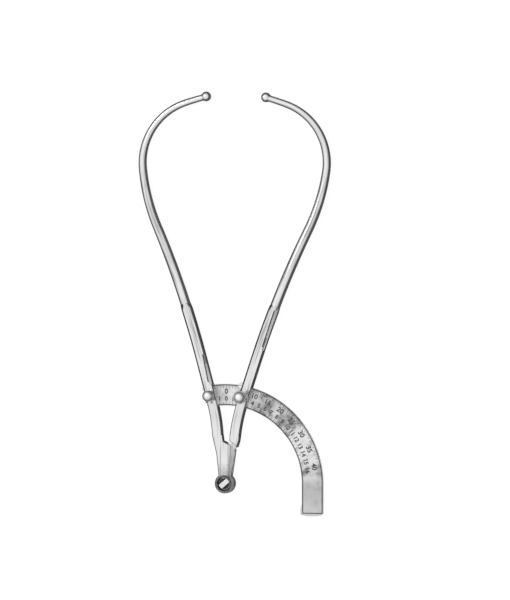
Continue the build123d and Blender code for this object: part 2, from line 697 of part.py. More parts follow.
# Index pointer on the inner side of the moving arm, just over the scale's outer edge
pointer_plane = Plane(origin=pointer_seat, x_dir=outward(1, SHANK_LEAN), z_dir=UP)
with BuildPart() as index_pointer:
    with BuildSketch(pointer_plane.offset(POINTER_Z)):
        with BuildLine():
            Polyline(
                (0, -POINTER_LENGTH / 2),
                (0, POINTER_LENGTH / 2),
                (-POINTER_REACH + POINTER_NOSE_W, POINTER_LENGTH / 2),
                (-POINTER_REACH, POINTER_NOSE_W),
                (-POINTER_REACH, -POINTER_LENGTH / 2),
                close=True,
            )
        make_face()
    extrude(amount=POINTER_TOP - POINTER_Z)
    with BuildSketch(screw_plane):
        Circle(POINTER_SCREW_D / 2 + PRESS_GAP)
    extrude(amount=POINTER_REACH, mode=Mode.SUBTRACT)

# Small screw that holds the pointer on the arm
with BuildPart() as index_pointer_screw:
    with BuildSketch(screw_plane.offset(-POINTER_HEAD_T)):
        Circle(POINTER_HEAD_D / 2)
    extrude(amount=POINTER_HEAD_T)
    with BuildSketch(screw_plane):
        Circle(POINTER_SCREW_D / 2)
    extrude(amount=POINTER_REACH + POINTER_SCREW_DEPTH)

PIECES = {
    "left_arm": left_arm,
    "right_arm": right_arm,
    "left_tip_ball": left_tip_ball,
    "right_tip_ball": right_tip_ball,
    "hinge_screw": hinge_screw,
    "hinge_spring_washer": hinge_spring_washer,
    "front_joint_washer": front_joint_washer,
    "back_joint_washer": back_joint_washer,
    "hinge_nut": hinge_nut,
    "scale_band": scale_band,
    "scale_screw": scale_screw,
    "scale_steady_pin": scale_steady_pin,
    "clamp_bush": clamp_bush,
    "clamp_screw": clamp_screw,
    "clamp_shoe": clamp_shoe,
    "index_pointer": index_pointer,
    "index_pointer_screw": index_pointer_screw,
}

os.makedirs("parts", exist_ok=True)
for name, piece in PIECES.items():
    piece.part.label = name
    export_step(piece.part, f"parts/{name}.step")
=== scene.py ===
"""Visual model of a pelvimeter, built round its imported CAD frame.

The instrument lies on its back: +Y runs from the hinge to the ball tips, +X to the
moving arm and the scale, +Z to the front. Lengths are in millimetres until a mesh is
placed in the scene.
"""

import logging
from dataclasses import dataclass, field
from enum import Enum
from math import asin, atan2, cos, degrees, pi, radians, sin, sqrt
from typing import Callable, Sequence

import bmesh
import bpy
from bmesh.types import BMesh, BMFace, BMVert
from bpy.types import Material, Node, NodeSocket, NodeTree
from mathutils import Matrix, Vector


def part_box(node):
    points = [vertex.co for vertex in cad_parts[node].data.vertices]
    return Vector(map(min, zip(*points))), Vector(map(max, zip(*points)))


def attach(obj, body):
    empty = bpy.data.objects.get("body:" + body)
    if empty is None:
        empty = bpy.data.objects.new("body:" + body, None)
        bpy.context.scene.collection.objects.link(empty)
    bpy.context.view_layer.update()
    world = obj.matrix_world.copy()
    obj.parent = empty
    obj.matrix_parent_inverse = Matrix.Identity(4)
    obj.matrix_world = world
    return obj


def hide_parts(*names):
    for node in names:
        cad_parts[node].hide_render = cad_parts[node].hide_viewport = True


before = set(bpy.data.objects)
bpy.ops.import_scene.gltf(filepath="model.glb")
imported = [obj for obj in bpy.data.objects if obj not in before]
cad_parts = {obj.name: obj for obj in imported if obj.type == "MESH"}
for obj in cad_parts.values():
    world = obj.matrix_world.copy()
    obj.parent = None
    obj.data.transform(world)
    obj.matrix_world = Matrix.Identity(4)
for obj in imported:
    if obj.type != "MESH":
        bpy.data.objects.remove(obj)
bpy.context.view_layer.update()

log = logging.getLogger("pelvimeter")

Colour = tuple[float, float, float]
Point = tuple[float, float]

MM = 0.001
MERGE = 0.002
CENTIMETRE = 10.0
INCH = 25.4
UP = Vector((0.0, 0.0, 1.0))
# Least Z of the normal of a face that counts as level.
LEVEL = 0.999
# Attributes of the meshes that the finishes read.
GRAIN = "grain"
# Colour of rounded edges: light wear on most finishes, a dark painted shade outline on the scale
# and the polished steel.
EDGE_WEAR_AND_SHADE = "edge_wear_and_shade"
# Tilted flats: duller ground metal, also darkened as painted shade.
GROUND_AND_SHADE = "ground_and_shaded_flat"
# Faces that take painted shade: the recess round the pivot, the seam along the long flat and the
# left edge strip.
PAINTED_SHADE_FACES = "soil"


class Body(Enum):
    """The moving groups of the frame."""

    FIXED = "fixed_arm"
    MOVING = "moving_arm"
    SHOE = "shoe"
    SCREW = "screw"


class Side(Enum):
    """The two arms, by the sign of their X."""

    LEFT = -1
    RIGHT = 1


# Shader nodes


def rgba(colour: float | Colour) -> tuple[float, float, float, float]:
    """A colour or a grey level as the four numbers that a socket takes."""
    return (*(colour if isinstance(colour, tuple) else (colour,) * 3), 1.0)


class Wiring:
    """Adds nodes to a shader node tree and feeds their inputs."""

    def __init__(self, tree: NodeTree) -> None:
        """Take the tree that gets the nodes."""
        self.tree = tree

    def feed(self, node: Node, inputs: dict[str | int, object]) -> None:
        """Link some of a node's inputs, or set their values.

        Args:
            node: The node.
            inputs: A socket to link from or a plain value, by the input's name or number.
        """
        for place, value in inputs.items():
            if isinstance(value, NodeSocket):
                self.tree.links.new(value, node.inputs[place])
            else:
                node.inputs[place].default_value = value

    def node(
        self, kind: str, inputs: dict[str | int, object] | None = None, **settings: object
    ) -> Node:
        """Add a node, set its properties and feed its inputs.

        Args:
            kind: The node's type name, without its prefix.
            inputs: What feeds its inputs, by name or number.
            settings: Properties of the node.

        Returns:
            The new node.
        """
        made = self.tree.nodes.new(f"ShaderNode{kind}")
        for name, value in settings.items():
            setattr(made, name, value)
        self.feed(made, inputs or {})
        return made

    def place(self, group: NodeTree, **inputs: object) -> Node:
        """Place a shared node group with values of its own."""
        return self.node("Group", inputs, node_tree=group)

    def attribute(self, name: str, output: str = "Fac") -> NodeSocket:
        """Read one of the mesh's own attributes."""
        return self.node("Attribute", attribute_name=name).outputs[output]

    def math(self, operation: str, *values: object, clamp: bool = False) -> NodeSocket:
        """Work out a number from sockets and numbers, kept from zero to one if asked."""
        made = self.node("Math", dict(enumerate(values)), operation=operation, use_clamp=clamp)
        return made.outputs[0]

    def mixed(self, share: object, first: object, second: object) -> NodeSocket:
        """Blend two colours, or two values.

        Args:
            share: The share of the second, a socket or a number.
            first: A socket, a value or a colour of four numbers.
            second: The same for the other end.

        Returns:
            The blend's output.
        """
        values = isinstance(first, float) or isinstance(second, float)
        low, high, out = (2, 3, 0) if values else (6, 7, 2)
        inputs = {0: share, low: first, high: second}
        return self.node("Mix", inputs, data_type="FLOAT" if values else "RGBA").outputs[out]

    def noise(self, place: NodeSocket, scale: object, **inputs: object) -> NodeSocket:
        """Noise from zero to one over a place, with other inputs of its node by name."""
        return self.node("TexNoise", {"Vector": place, "Scale": scale, **inputs}).outputs[0]

    def fade(self, value: NodeSocket, zero_at: float, one_at: float) -> NodeSocket:
        """Turn a value into a soft step between two levels."""
        inputs = {"Value": value, "From Min": zero_at, "From Max": one_at}
        return self.node("MapRange", inputs, interpolation_type="SMOOTHSTEP").outputs[0]

    def stretched(self, place: NodeSocket, factors: object) -> NodeSocket:
        """Multiply a place by a factor along each axis."""
        return self.node("VectorMath", {0: place, 1: factors}, operation="MULTIPLY").outputs[0]


class NodeGroup(Wiring):
    """A shader node group that takes a place and named values."""

    def __init__(self, name: str, **takes: float | tuple[float, ...]) -> None:
        """Start a group with its inputs.

        Args:
            name: The group's name.
            takes: Its inputs after the place, each with a number or a colour as its value
                where nothing is linked.
        """
        super().__init__(bpy.data.node_groups.new(name, "ShaderNodeTree"))
        self.socket("INPUT", "Vector", "Vector")
        for socket, value in takes.items():
            kind = "Color" if isinstance(value, tuple) else "Float"
            self.socket("INPUT", socket, kind).default_value = value
        self.given = self.tree.nodes.new("NodeGroupInput").outputs
        self.exit = self.tree.nodes.new("NodeGroupOutput")

    def socket(self, way: str, name: str, kind: str) -> bpy.types.NodeTreeInterfaceSocket:
        """Add an input or an output that is a Float, a Vector or a Color."""
        kind = f"NodeSocket{kind}"
        return self.tree.interface.new_socket(name=name, in_out=way, socket_type=kind)

    def gives(self, name: str, kind: str, source: NodeSocket) -> None:
        """Add an output that is fed by a socket of the group."""
        self.socket("OUTPUT", name, kind)
        self.feed(self.exit, {name: source})


def make_grinding_group() -> NodeTree:
    """Fine marks that run along the grain's own Y.

    Returns:
        A group that gives the height and the mask of the marks.
    """
    group = NodeGroup("grinding_marks", Scale=900.0, Stretch=30.0, Waviness=0.3)
    given, scratch_spacing, scratch_depth = group.given, 0.28, 0.6
    thin = group.math("DIVIDE", 1.0, given["Stretch"])
    factors = group.node("CombineXYZ", {"X": 1.0, "Y": thin, "Z": 1.0})
    drawn = group.stretched(given["Vector"], factors.outputs[0])
    fine = group.noise(
        drawn, given["Scale"], Detail=4.0, Roughness=0.65, Distortion=given["Waviness"]
    )
    wider = group.math("MULTIPLY", given["Scale"], scratch_spacing)
    lines = group.fade(group.noise(drawn, wider, Detail=2.0), zero_at=0.60, one_at=0.68)
    height = group.math("SUBTRACT", fine, group.math("MULTIPLY", lines, scratch_depth))
    group.gives("Height", "Float", height)
    group.gives("Scratch", "Float", lines)
    return group.tree


def make_handling_group() -> NodeTree:
    """Broad dull patches that handling and cleaning leave on polished metal.

    Returns:
        A group that gives a mask from zero to one, and a clouded colour.
    """
    group = NodeGroup("handling_marks", Scale=60.0, Bright=rgba(0.8), Dull=rgba(0.6), Amount=0.5)
    given = group.given
    broad = group.noise(given["Vector"], given["Scale"], Detail=5.0, Roughness=0.55)
    spread = group.fade(broad, zero_at=0.38, one_at=0.70)
    mask = group.math("MULTIPLY", spread, given["Amount"], clamp=True)
    clouded = group.mixed(mask, given["Bright"], given["Dull"])
    group.gives("Mask", "Float", mask)
    group.gives("Color", "Color", clouded)
    return group.tree


def make_speckle_group() -> NodeTree:
    """Small dark pits and specks, as on an old satin scale.

    Returns:
        A group that gives the mask of the specks.
    """
    group = NodeGroup("specks", Scale=900.0, Amount=0.5)
    given, patch_spacing = group.given, 0.2
    cells = group.node(
        "TexVoronoi", {"Vector": given["Vector"], "Scale": given["Scale"]}, feature="F1"
    )
    dots = group.fade(cells.outputs["Distance"], zero_at=0.22, one_at=0.08)
    wider = group.math("MULTIPLY", given["Scale"], patch_spacing)
    patches = group.fade(group.noise(given["Vector"], wider), zero_at=0.52, one_at=0.62)
    both = group.math("MULTIPLY", dots, patches)
    group.gives("Mask", "Float", group.math("MULTIPLY", both, given["Amount"], clamp=True))
    return group.tree


def make_streak_group() -> NodeTree:
    """Long dull streaks that draw-filing leaves along a bar.

    Returns:
        A group that gives the mask of the streaks.
    """
    group = NodeGroup("drawn_streaks", Across=600.0, Along=18.0)
    across, along = group.given["Across"], group.given["Along"]
    factors = group.node("CombineXYZ", {"X": across, "Y": along, "Z": across})
    drawn = group.stretched(group.given["Vector"], factors.outputs[0])
    noise = group.noise(drawn, 1.0, Detail=3.0, Roughness=0.6)
    group.gives("Mask", "Float", group.fade(noise, zero_at=0.50, one_at=0.66))
    return group.tree


def make_painted_shade_group() -> NodeTree:
    """Painted shade in recesses, seams and along edges, and a painted shade that fades out round
    the hinge, broken up by noise.

    Returns:
        A group that gives the mask of the painted shade.
    """
    group = NodeGroup("settled_grime", Soil=0.0, Near=-0.001, Far=0.0, Scale=700.0)
    given, least_shade, unevenness = group.given, 0.01, 0.7
    flat = group.stretched(given["Vector"], (1.0, 1.0, 0.0))
    reach = group.node("VectorMath", {0: flat}, operation="LENGTH").outputs["Value"]
    # Painted shade round the hinge: half strength at Near, none from Far outward.
    limits = {"From Min": given["Near"], "From Max": given["Far"], "To Min": 0.50, "To Max": 0.0}
    round_hinge = group.node("MapRange", {"Value": reach, **limits}).outputs[0]
    soil = group.math("MAXIMUM", given["Soil"], round_hinge)
    patches = group.noise(given["Vector"], given["Scale"], Detail=4.0)
    broken = group.math("MULTIPLY_ADD", patches, unevenness, -unevenness / 2)
    held = group.math("MULTIPLY", broken, group.math("GREATER_THAN", soil, least_shade))
    group.gives("Mask", "Float", group.math("ADD", soil, held, clamp=True))
    return group.tree


# Finishes


def new_material(name: str) -> tuple[Material, Wiring, Node]:
    """Start a material.

    Args:
        name: Its name.

    Returns:
        The material, the wiring of its nodes and its shader.
    """
    made = bpy.data.materials.new(name)
    made.use_nodes = True
    return made, Wiring(made.node_tree), made.node_tree.nodes["Principled BSDF"]


@dataclass(frozen=True)
class MetalFinish:
    """How a metal is ground or polished. Colours are linear grey or red, green, blue."""

    name: str
    bright: Colour
    dull: Colour
    smooth: float
    rough: float
    grain_scale: float = 900.0
    grain_stretch: float = 40.0
    grain_depth: float = 0.03
    grain_strength: float = 0.6
    scratch_wear: float = 0.35
    handling_scale: float = 60.0
    handling: float = 0.6
    specks: float = 0.0
    speck_shade: float = 0.05
    streaks: float = 0.0
    streaks_across: float = 600.0
    streaks_along: float = 18.0
    # Colour of the filing streaks and of the tilted ground flats; on the flats it is partly painted
    # shade.
    flat_shade: float = 0.30
    flat_cover: float = 0.40
    flat_streaks: float = 0.45
    flat_roughness: float = 0.42
    # Colour of the rounded edges: light for wear, dark for a painted shade outline.
    edge_shade: float = 0.92
    # Near-black painted shade with its roughness and metalness, and the radii where the painted
    # shade round the hinge fades out.
    grime: Colour = (0.018, 0.017, 0.016)
    painted_shade_roughness: float = 0.62
    painted_shade_metal: float = 0.35
    hinge_shade: tuple[float, float] = (-0.001, 0.0)
    # Along the grain: the place, how brightly it is rubbed and how patchy it is.
    rubbing: tuple[tuple[float, float, float], ...] = ()
    rubbed: Colour = (0.8, 0.8, 0.8)
    rubbed_patches: float = 0.55

    def colour(
        self, wiring: Wiring, groups: dict[str, NodeTree], grain: NodeSocket
    ) -> tuple[NodeSocket, NodeSocket]:
        """Build the clouded colour with its specks and its rubbed stretches.

        Args:
            wiring: The wiring of the material.
            groups: The shared node groups by name.
            grain: The grain's place on the surface.

        Returns:
            The colour and the mask of the dull patches.
        """
        clouds = wiring.place(
            groups["handling"], Vector=grain, Scale=self.handling_scale,
            Bright=rgba(self.bright), Dull=rgba(self.dull), Amount=self.handling,
        )
        colour, mask = clouds.outputs["Color"], clouds.outputs["Mask"]
        if self.rubbing:
            wear = self.wear_along(wiring, grain)
            amount = wiring.math("MULTIPLY", wear.outputs["Alpha"], self.handling)
            wiring.feed(clouds, {"Amount": amount})
            rubbed = wiring.math(
                "MULTIPLY_ADD", mask, -self.rubbed_patches, wear.outputs["Color"], clamp=True
            )
            colour = wiring.mixed(rubbed, colour, rgba(self.rubbed))
        if self.specks:
            dots = wiring.place(groups["specks"], Vector=grain, Amount=self.specks)
            colour = wiring.mixed(dots.outputs["Mask"], colour, rgba(self.speck_shade))
        return colour, mask

    def wear_along(self, wiring: Wiring, grain: NodeSocket) -> Node:
        """Lay the rubbing out along the grain's Y.

        Args:
            wiring: The wiring of the material.
            grain: The grain's place on the surface.

        Returns:
            A ramp whose colour is how brightly the metal is rubbed, and whose alpha is how
            patchy it is.
        """
        first, last = self.rubbing[0][0], self.rubbing[-1][0]
        along = wiring.node("MapRange", {
            "Value": wiring.node("SeparateXYZ", {0: grain}).outputs["Y"],
            "From Min": first * MM,
            "From Max": last * MM,
        })
        wear = wiring.node("ValToRGB", {0: along.outputs[0]})
        stops = wear.color_ramp.elements
        while len(stops) < len(self.rubbing):
            stops.new(0.5)
        for stop, (place, share, patches) in zip(stops, self.rubbing):
            stop.position = (place - first) / (last - first)
            stop.color = (share, share, share, patches)
        return wear

    def material(self, groups: dict[str, NodeTree]) -> Material:
        """Build the material.

        Args:
            groups: The shared node groups by name.

        Returns:
            A material whose pattern follows the piece's grain attribute.
        """
        made, wiring, shader = new_material(self.name)
        grain = wiring.attribute(GRAIN, "Vector")
        marks = wiring.place(
            groups["grinding"], Vector=grain, Scale=self.grain_scale, Stretch=self.grain_stretch
        )
        colour, dulled = self.colour(wiring, groups, grain)
        wear = wiring.math(
            "MULTIPLY_ADD", marks.outputs["Scratch"], self.scratch_wear, dulled, clamp=True
        )
        rough = wiring.mixed(wear, self.smooth, self.rough)
        if self.streaks:
            drawn = wiring.place(
                groups["streaks"], Vector=grain,
                Across=self.streaks_across, Along=self.streaks_along,
            ).outputs["Mask"]
            filed = wiring.math("MULTIPLY", drawn, self.streaks)
            colour = wiring.mixed(filed, colour, rgba(self.flat_shade))
            # Tilted faces are left as duller ground metal and darkened as painted shade.
            cut = wiring.math(
                "MULTIPLY_ADD", drawn, self.flat_streaks, self.flat_cover, clamp=True
            )
            flats = wiring.math("MULTIPLY", wiring.attribute(GROUND_AND_SHADE), cut)
            colour = wiring.mixed(flats, colour, rgba(self.flat_shade))
            rough = wiring.mixed(flats, rough, self.flat_roughness)
        # Rounded edges take their own colour: light wear, or a dark painted shade outline.
        colour = wiring.mixed(wiring.attribute(EDGE_WEAR_AND_SHADE), colour, rgba(self.edge_shade))
        # Painted shade: near-black in the recess, the seam, the edge strip and round the hinge.
        near, far = self.hinge_shade
        grime = wiring.place(
            groups["grime"], Vector=wiring.node("TexCoord").outputs["Object"],
            Soil=wiring.attribute(PAINTED_SHADE_FACES), Near=near, Far=far,
        ).outputs["Mask"]
        bump = wiring.node("Bump", {
            "Strength": self.grain_strength,
            "Distance": self.grain_depth * MM,
            "Height": marks.outputs["Height"],
        })
        wiring.feed(shader, {
            "Base Color": wiring.mixed(grime, colour, rgba(self.grime)),
            "Roughness": wiring.mixed(grime, rough, self.painted_shade_roughness),
            "Metallic": wiring.mixed(grime, 1.0, self.painted_shade_metal),
            "Normal": bump.outputs[0],
        })
        return made


@dataclass(frozen=True)
class InkFinish:
    """Black wax that fills the engraved lines and numbers."""

    name: str = "engraving_black"
    worn: Colour = (0.075, 0.075, 0.078)
    full: Colour = (0.012, 0.012, 0.013)
    clouds: float = 420.0
    wear: float = 0.9
    roughness: tuple[float, float] = (0.45, 0.75)

    def material(self, groups: dict[str, NodeTree]) -> Material:
        """Build the material.

        Args:
            groups: The shared node groups by name.

        Returns:
            A dull black that is thinner in places.
        """
        made, wiring, shader = new_material(self.name)
        clouds = wiring.place(
            groups["handling"], Vector=wiring.node("TexCoord").outputs["Object"],
            Scale=self.clouds, Bright=rgba(self.full), Dull=rgba(self.worn), Amount=self.wear,
        )
        low, high = self.roughness
        spread = {"Value": clouds.outputs["Mask"], "To Min": low, "To Max": high}
        rough = wiring.node("MapRange", spread).outputs[0]
        wiring.feed(shader, {"Base Color": clouds.outputs["Color"], "Roughness": rough})
        return made


class Finish(Enum):
    """The finishes of the instrument."""

    POLISHED = MetalFinish(
        "polished_steel", (0.84, 0.84, 0.85), (0.66, 0.66, 0.67), 0.14, 0.30,
        grain_scale=1500.0, grain_stretch=60.0, grain_depth=0.012, handling_scale=45.0,
        # Its dark edge colour and its darker ring round the hinge are painted shade.
        streaks=0.75, edge_shade=0.10, hinge_shade=(0.0060, 0.0175),
    )
    TURNED = MetalFinish(
        "turned_steel", (0.84, 0.84, 0.85), (0.70, 0.70, 0.71), 0.10, 0.24,
        grain_scale=2400.0, grain_stretch=80.0, grain_depth=0.008, handling_scale=160.0,
    )
    KNOB = MetalFinish(
        "satin_knob_steel", (0.90, 0.90, 0.91), (0.76, 0.76, 0.77), 0.40, 0.50,
        grain_scale=2400.0, grain_stretch=80.0, grain_depth=0.006, handling_scale=220.0,
    )
    SATIN = MetalFinish(
        "satin_scale_steel", (0.40, 0.40, 0.41), (0.13, 0.13, 0.135), 0.36, 0.52,
        grain_scale=1800.0, grain_stretch=25.0, grain_depth=0.02, handling_scale=170.0,
        # Its dark edge colour is a painted shade outline.
        handling=0.95, specks=0.9, edge_shade=0.10, rubbed=(0.74, 0.74, 0.745),
        rubbing=(
            (-15.0, 0.55, 0.8), (2.0, 0.95, 0.5), (13.0, 0.90, 0.6), (21.0, 0.98, 0.8),
            (30.0, 0.30, 1.0), (37.0, 0.22, 1.0), (45.0, 0.85, 0.9), (51.0, 0.08, 0.9),
            (61.0, 0.58, 1.0), (71.0, 1.25, 1.0), (94.0, 1.00, 1.0), (101.0, 0.58, 1.0),
            (107.0, 0.74, 0.6), (113.0, 0.30, 0.3), (121.0, 0.30, 0.2), (138.0, 0.66, 0.2),
        ),
    )
    PLAIN = MetalFinish(
        "plain_steel", (0.58, 0.58, 0.60), (0.40, 0.40, 0.42), 0.28, 0.45,
        grain_scale=1800.0, grain_stretch=30.0, grain_depth=0.02, handling_scale=200.0,
    )
    BRASS = MetalFinish(
        "washer_brass", (0.80, 0.60, 0.28), (0.52, 0.38, 0.18), 0.22, 0.45,
        grain_scale=1800.0, grain_stretch=30.0, grain_depth=0.02, handling_scale=200.0,
    )
    INK = InkFinish()
    WORN_INK = InkFinish("worn_engraving_black", (0.17, 0.17, 0.173), (0.035, 0.035, 0.036))


# Mesh tools


def as_mesh(bm: BMesh, name: str) -> bpy.types.Mesh:
    """Write an edited mesh out, and free it.

    Args:
        bm: The edited mesh.
        name: The new mesh's name.

    Returns:
        The new mesh.
    """
    mesh = bpy.data.meshes.new(name)
    bm.to_mesh(mesh)
    bm.free()
    return mesh


def take_in(bm: BMesh, mesh: bpy.types.Mesh) -> None:
    """Add a mesh to an edited one, and remove it."""
    bm.from_mesh(mesh)
    bpy.data.meshes.remove(mesh)


def joined(*parts: BMesh) -> BMesh:
    """Put several meshes into one.

    Args:
        parts: The meshes, which are freed.

    Returns:
        One mesh with all of them.
    """
    whole = bmesh.new()
    for part in parts:
        take_in(whole, as_mesh(part, "carrier"))
    return whole


def add_object(name: str, data: bpy.types.ID) -> bpy.types.Object:
    """Put an object in the scene.

    Args:
        name: Its name.
        data: Its mesh, text, lamp or camera.

    Returns:
        The object.
    """
    made = bpy.data.objects.new(name, data)
    bpy.context.scene.collection.objects.link(made)
    return made


def node_box(node: str) -> tuple[Vector, Vector]:
    """The low and the high corner of a CAD node, in millimetres."""
    low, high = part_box(node)
    return low / MM, high / MM


def node_axis(node: str) -> Vector:
    """The foot of the upright axis through the middle of a CAD node, in millimetres."""
    low, high = node_box(node)
    return Vector(((low.x + high.x) / 2, (low.y + high.y) / 2, 0.0))


def only(kind: type, items: Sequence[object]) -> list:
    """The items of one kind among what an operator gives back."""
    return [item for item in items if isinstance(item, kind)]


def right_of(heading: Vector) -> Vector:
    """The level direction to the right of a heading."""
    return Vector((heading.y, -heading.x, 0.0))


def cut_through(
    bm: BMesh,
    point: Vector,
    normal: Vector,
    faces: Sequence[BMFace] | None = None,
    clear: bool = False,
) -> None:
    """Cut a mesh with a plane.

    Args:
        bm: The mesh.
        point: A point of the plane.
        normal: The plane's normal.
        faces: The faces that are cut, or none for the whole mesh.
        clear: Whether what lies beyond the plane is taken away.
    """
    geom = [*bm.verts, *bm.edges, *bm.faces]
    if faces is not None:
        corners = dict.fromkeys(vert for face in faces for vert in face.verts)
        edges = dict.fromkeys(edge for face in faces for edge in face.edges)
        geom = [*corners, *edges, *faces]
    bmesh.ops.bisect_plane(
        bm, geom=geom, dist=MERGE, plane_co=point, plane_no=normal, clear_outer=clear
    )


def close_holes(bm: BMesh) -> None:
    """Fill every open rim of a mesh."""
    bmesh.ops.holes_fill(bm, edges=[e for e in bm.edges if e.is_boundary], sides=0)


def cad_mesh(node: str, flatness: float = 0.4) -> BMesh:
    """A merged copy of a CAD node's mesh, in millimetres.

    Args:
        node: The CAD node's name.
        flatness: Widest angle between faces that are joined, in degrees.

    Returns:
        The copy, with its flat faces joined.
    """
    bm = bmesh.new()
    bm.from_mesh(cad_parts[node].data)
    bmesh.ops.scale(bm, vec=(1 / MM, 1 / MM, 1 / MM), verts=bm.verts)
    bmesh.ops.remove_doubles(bm, verts=bm.verts, dist=MERGE)
    bmesh.ops.dissolve_limit(
        bm, angle_limit=radians(flatness), use_dissolve_boundaries=False,
        verts=bm.verts, edges=bm.edges,
    )
    return bm


def finer_rings(
    bm: BMesh, cuts: int = 2, widest: float = 30.0, nearest: float = 1.0, farthest: float = 100.0
) -> None:
    """Divide the edges that run round the hinge axis, and push them out to the true circle.

    Args:
        bm: The mesh, in millimetres.
        cuts: Cuts in each edge.
        widest: Widest turn of an edge that counts as part of a circle, in degrees.
        nearest: Radius of the smallest circle that is divided.
        farthest: Radius of the largest one.
    """
    same = 4 * MERGE
    reach = bm.verts.layers.float.new("reach")
    for vert in bm.verts:
        vert[reach] = vert.co.xy.length
    known = set(bm.verts)
    rings = []
    for edge in bm.edges:
        first, second = edge.verts
        level = abs(first.co.z - second.co.z) < same and abs(first[reach] - second[reach]) < same
        if level and nearest < first[reach] < farthest:
            if first.co.xy.angle(second.co.xy) < radians(widest):
                rings.append(edge)
    bmesh.ops.subdivide_edges(bm, edges=rings, cuts=cuts, use_grid_fill=True)
    for vert in bm.verts:
        if vert not in known:
            vert.co.xy *= vert[reach] / vert.co.xy.length
    bm.verts.layers.float.remove(reach)


def mark_faces(bm: BMesh, name: str, rule: Callable[[BMFace], float]) -> None:
    """Write a value for each face, which the finish reads.

    Args:
        bm: The mesh.
        name: The attribute's name.
        rule: Gives a face's value.
    """
    layer = bm.faces.layers.float.new(name)
    for face in bm.faces:
        face[layer] = rule(face)


def set_grain(bm: BMesh, rule: Callable[[Vector], Vector]) -> None:
    """Write the grain attribute, whose Y runs along the finishing marks, in metres.

    Args:
        bm: The mesh, in millimetres.
        rule: Gives the grain's place from a vertex's place.
    """
    layer = bm.verts.layers.float_vector.new(GRAIN)
    for vert in bm.verts:
        vert[layer] = rule(vert.co) * MM


def lean_rule(lean: float) -> Callable[[Vector], Vector]:
    """The grain's rule for a piece whose marks lean from +Y towards +X by some degrees."""
    turn = Matrix.Rotation(radians(lean), 3, "Z")
    return lambda place: turn @ place


def turned_rule(axis: Vector) -> Callable[[Vector], Vector]:
    """The grain's rule for a piece that is turned about an upright axis."""
    return lambda place: Vector(((place - axis).xy.length, 0.0, place.z))


def spun(profile: Sequence[Point], centre: Vector, steps: int = 72) -> BMesh:
    """Turn a profile round an upright axis.

    Args:
        profile: Points of radius and height, from one end to the other.
        centre: A point of the axis, its height added to the profile's.
        steps: Faces round the axis.

    Returns:
        The closed mesh with grain round the axis.
    """
    bm = bmesh.new()
    verts = [bm.verts.new((radius, 0.0, height)) for radius, height in profile]
    edges = [bm.edges.new(pair) for pair in zip(verts, verts[1:])]
    bmesh.ops.spin(
        bm, geom=verts + edges, cent=(0, 0, 0), axis=(0, 0, 1), angle=2 * pi, steps=steps,
        use_merge=True,
    )
    bmesh.ops.remove_doubles(bm, verts=bm.verts, dist=MERGE)
    bmesh.ops.recalc_face_normals(bm, faces=bm.faces)
    bmesh.ops.translate(bm, vec=centre, verts=bm.verts)
    set_grain(bm, turned_rule(centre))
    return bm


def arc_points(radius: float, centre: Point, start: float, end: float, steps: int) -> list[Point]:
    """Points on an arc of a profile.

    Args:
        radius: The arc's radius.
        centre: Its centre, as radius and height.
        start: Angle of its first point from straight out, in degrees.
        end: Angle of its last point.
        steps: Number of stretches.

    Returns:
        The points, both ends included.
    """
    turns = [radians(start + (end - start) * step / steps) for step in range(steps + 1)]
    return [
        (max(centre[0] + radius * cos(turn), 0.0), centre[1] + radius * sin(turn))
        for turn in turns
    ]


def ball_points(ball: float, neck: float, centre: float, steps: int = 36) -> list[Point]:
    """Points of a ball's profile, from its neck up to its top.

    Args:
        ball: The ball's diameter.
        neck: Diameter of the neck that it stands on.
        centre: Height of its middle.
        steps: Number of stretches.

    Returns:
        The points, both ends included.
    """
    return arc_points(ball / 2, (0.0, centre), degrees(asin(neck / ball)) - 90, 90, steps)


# The workshop


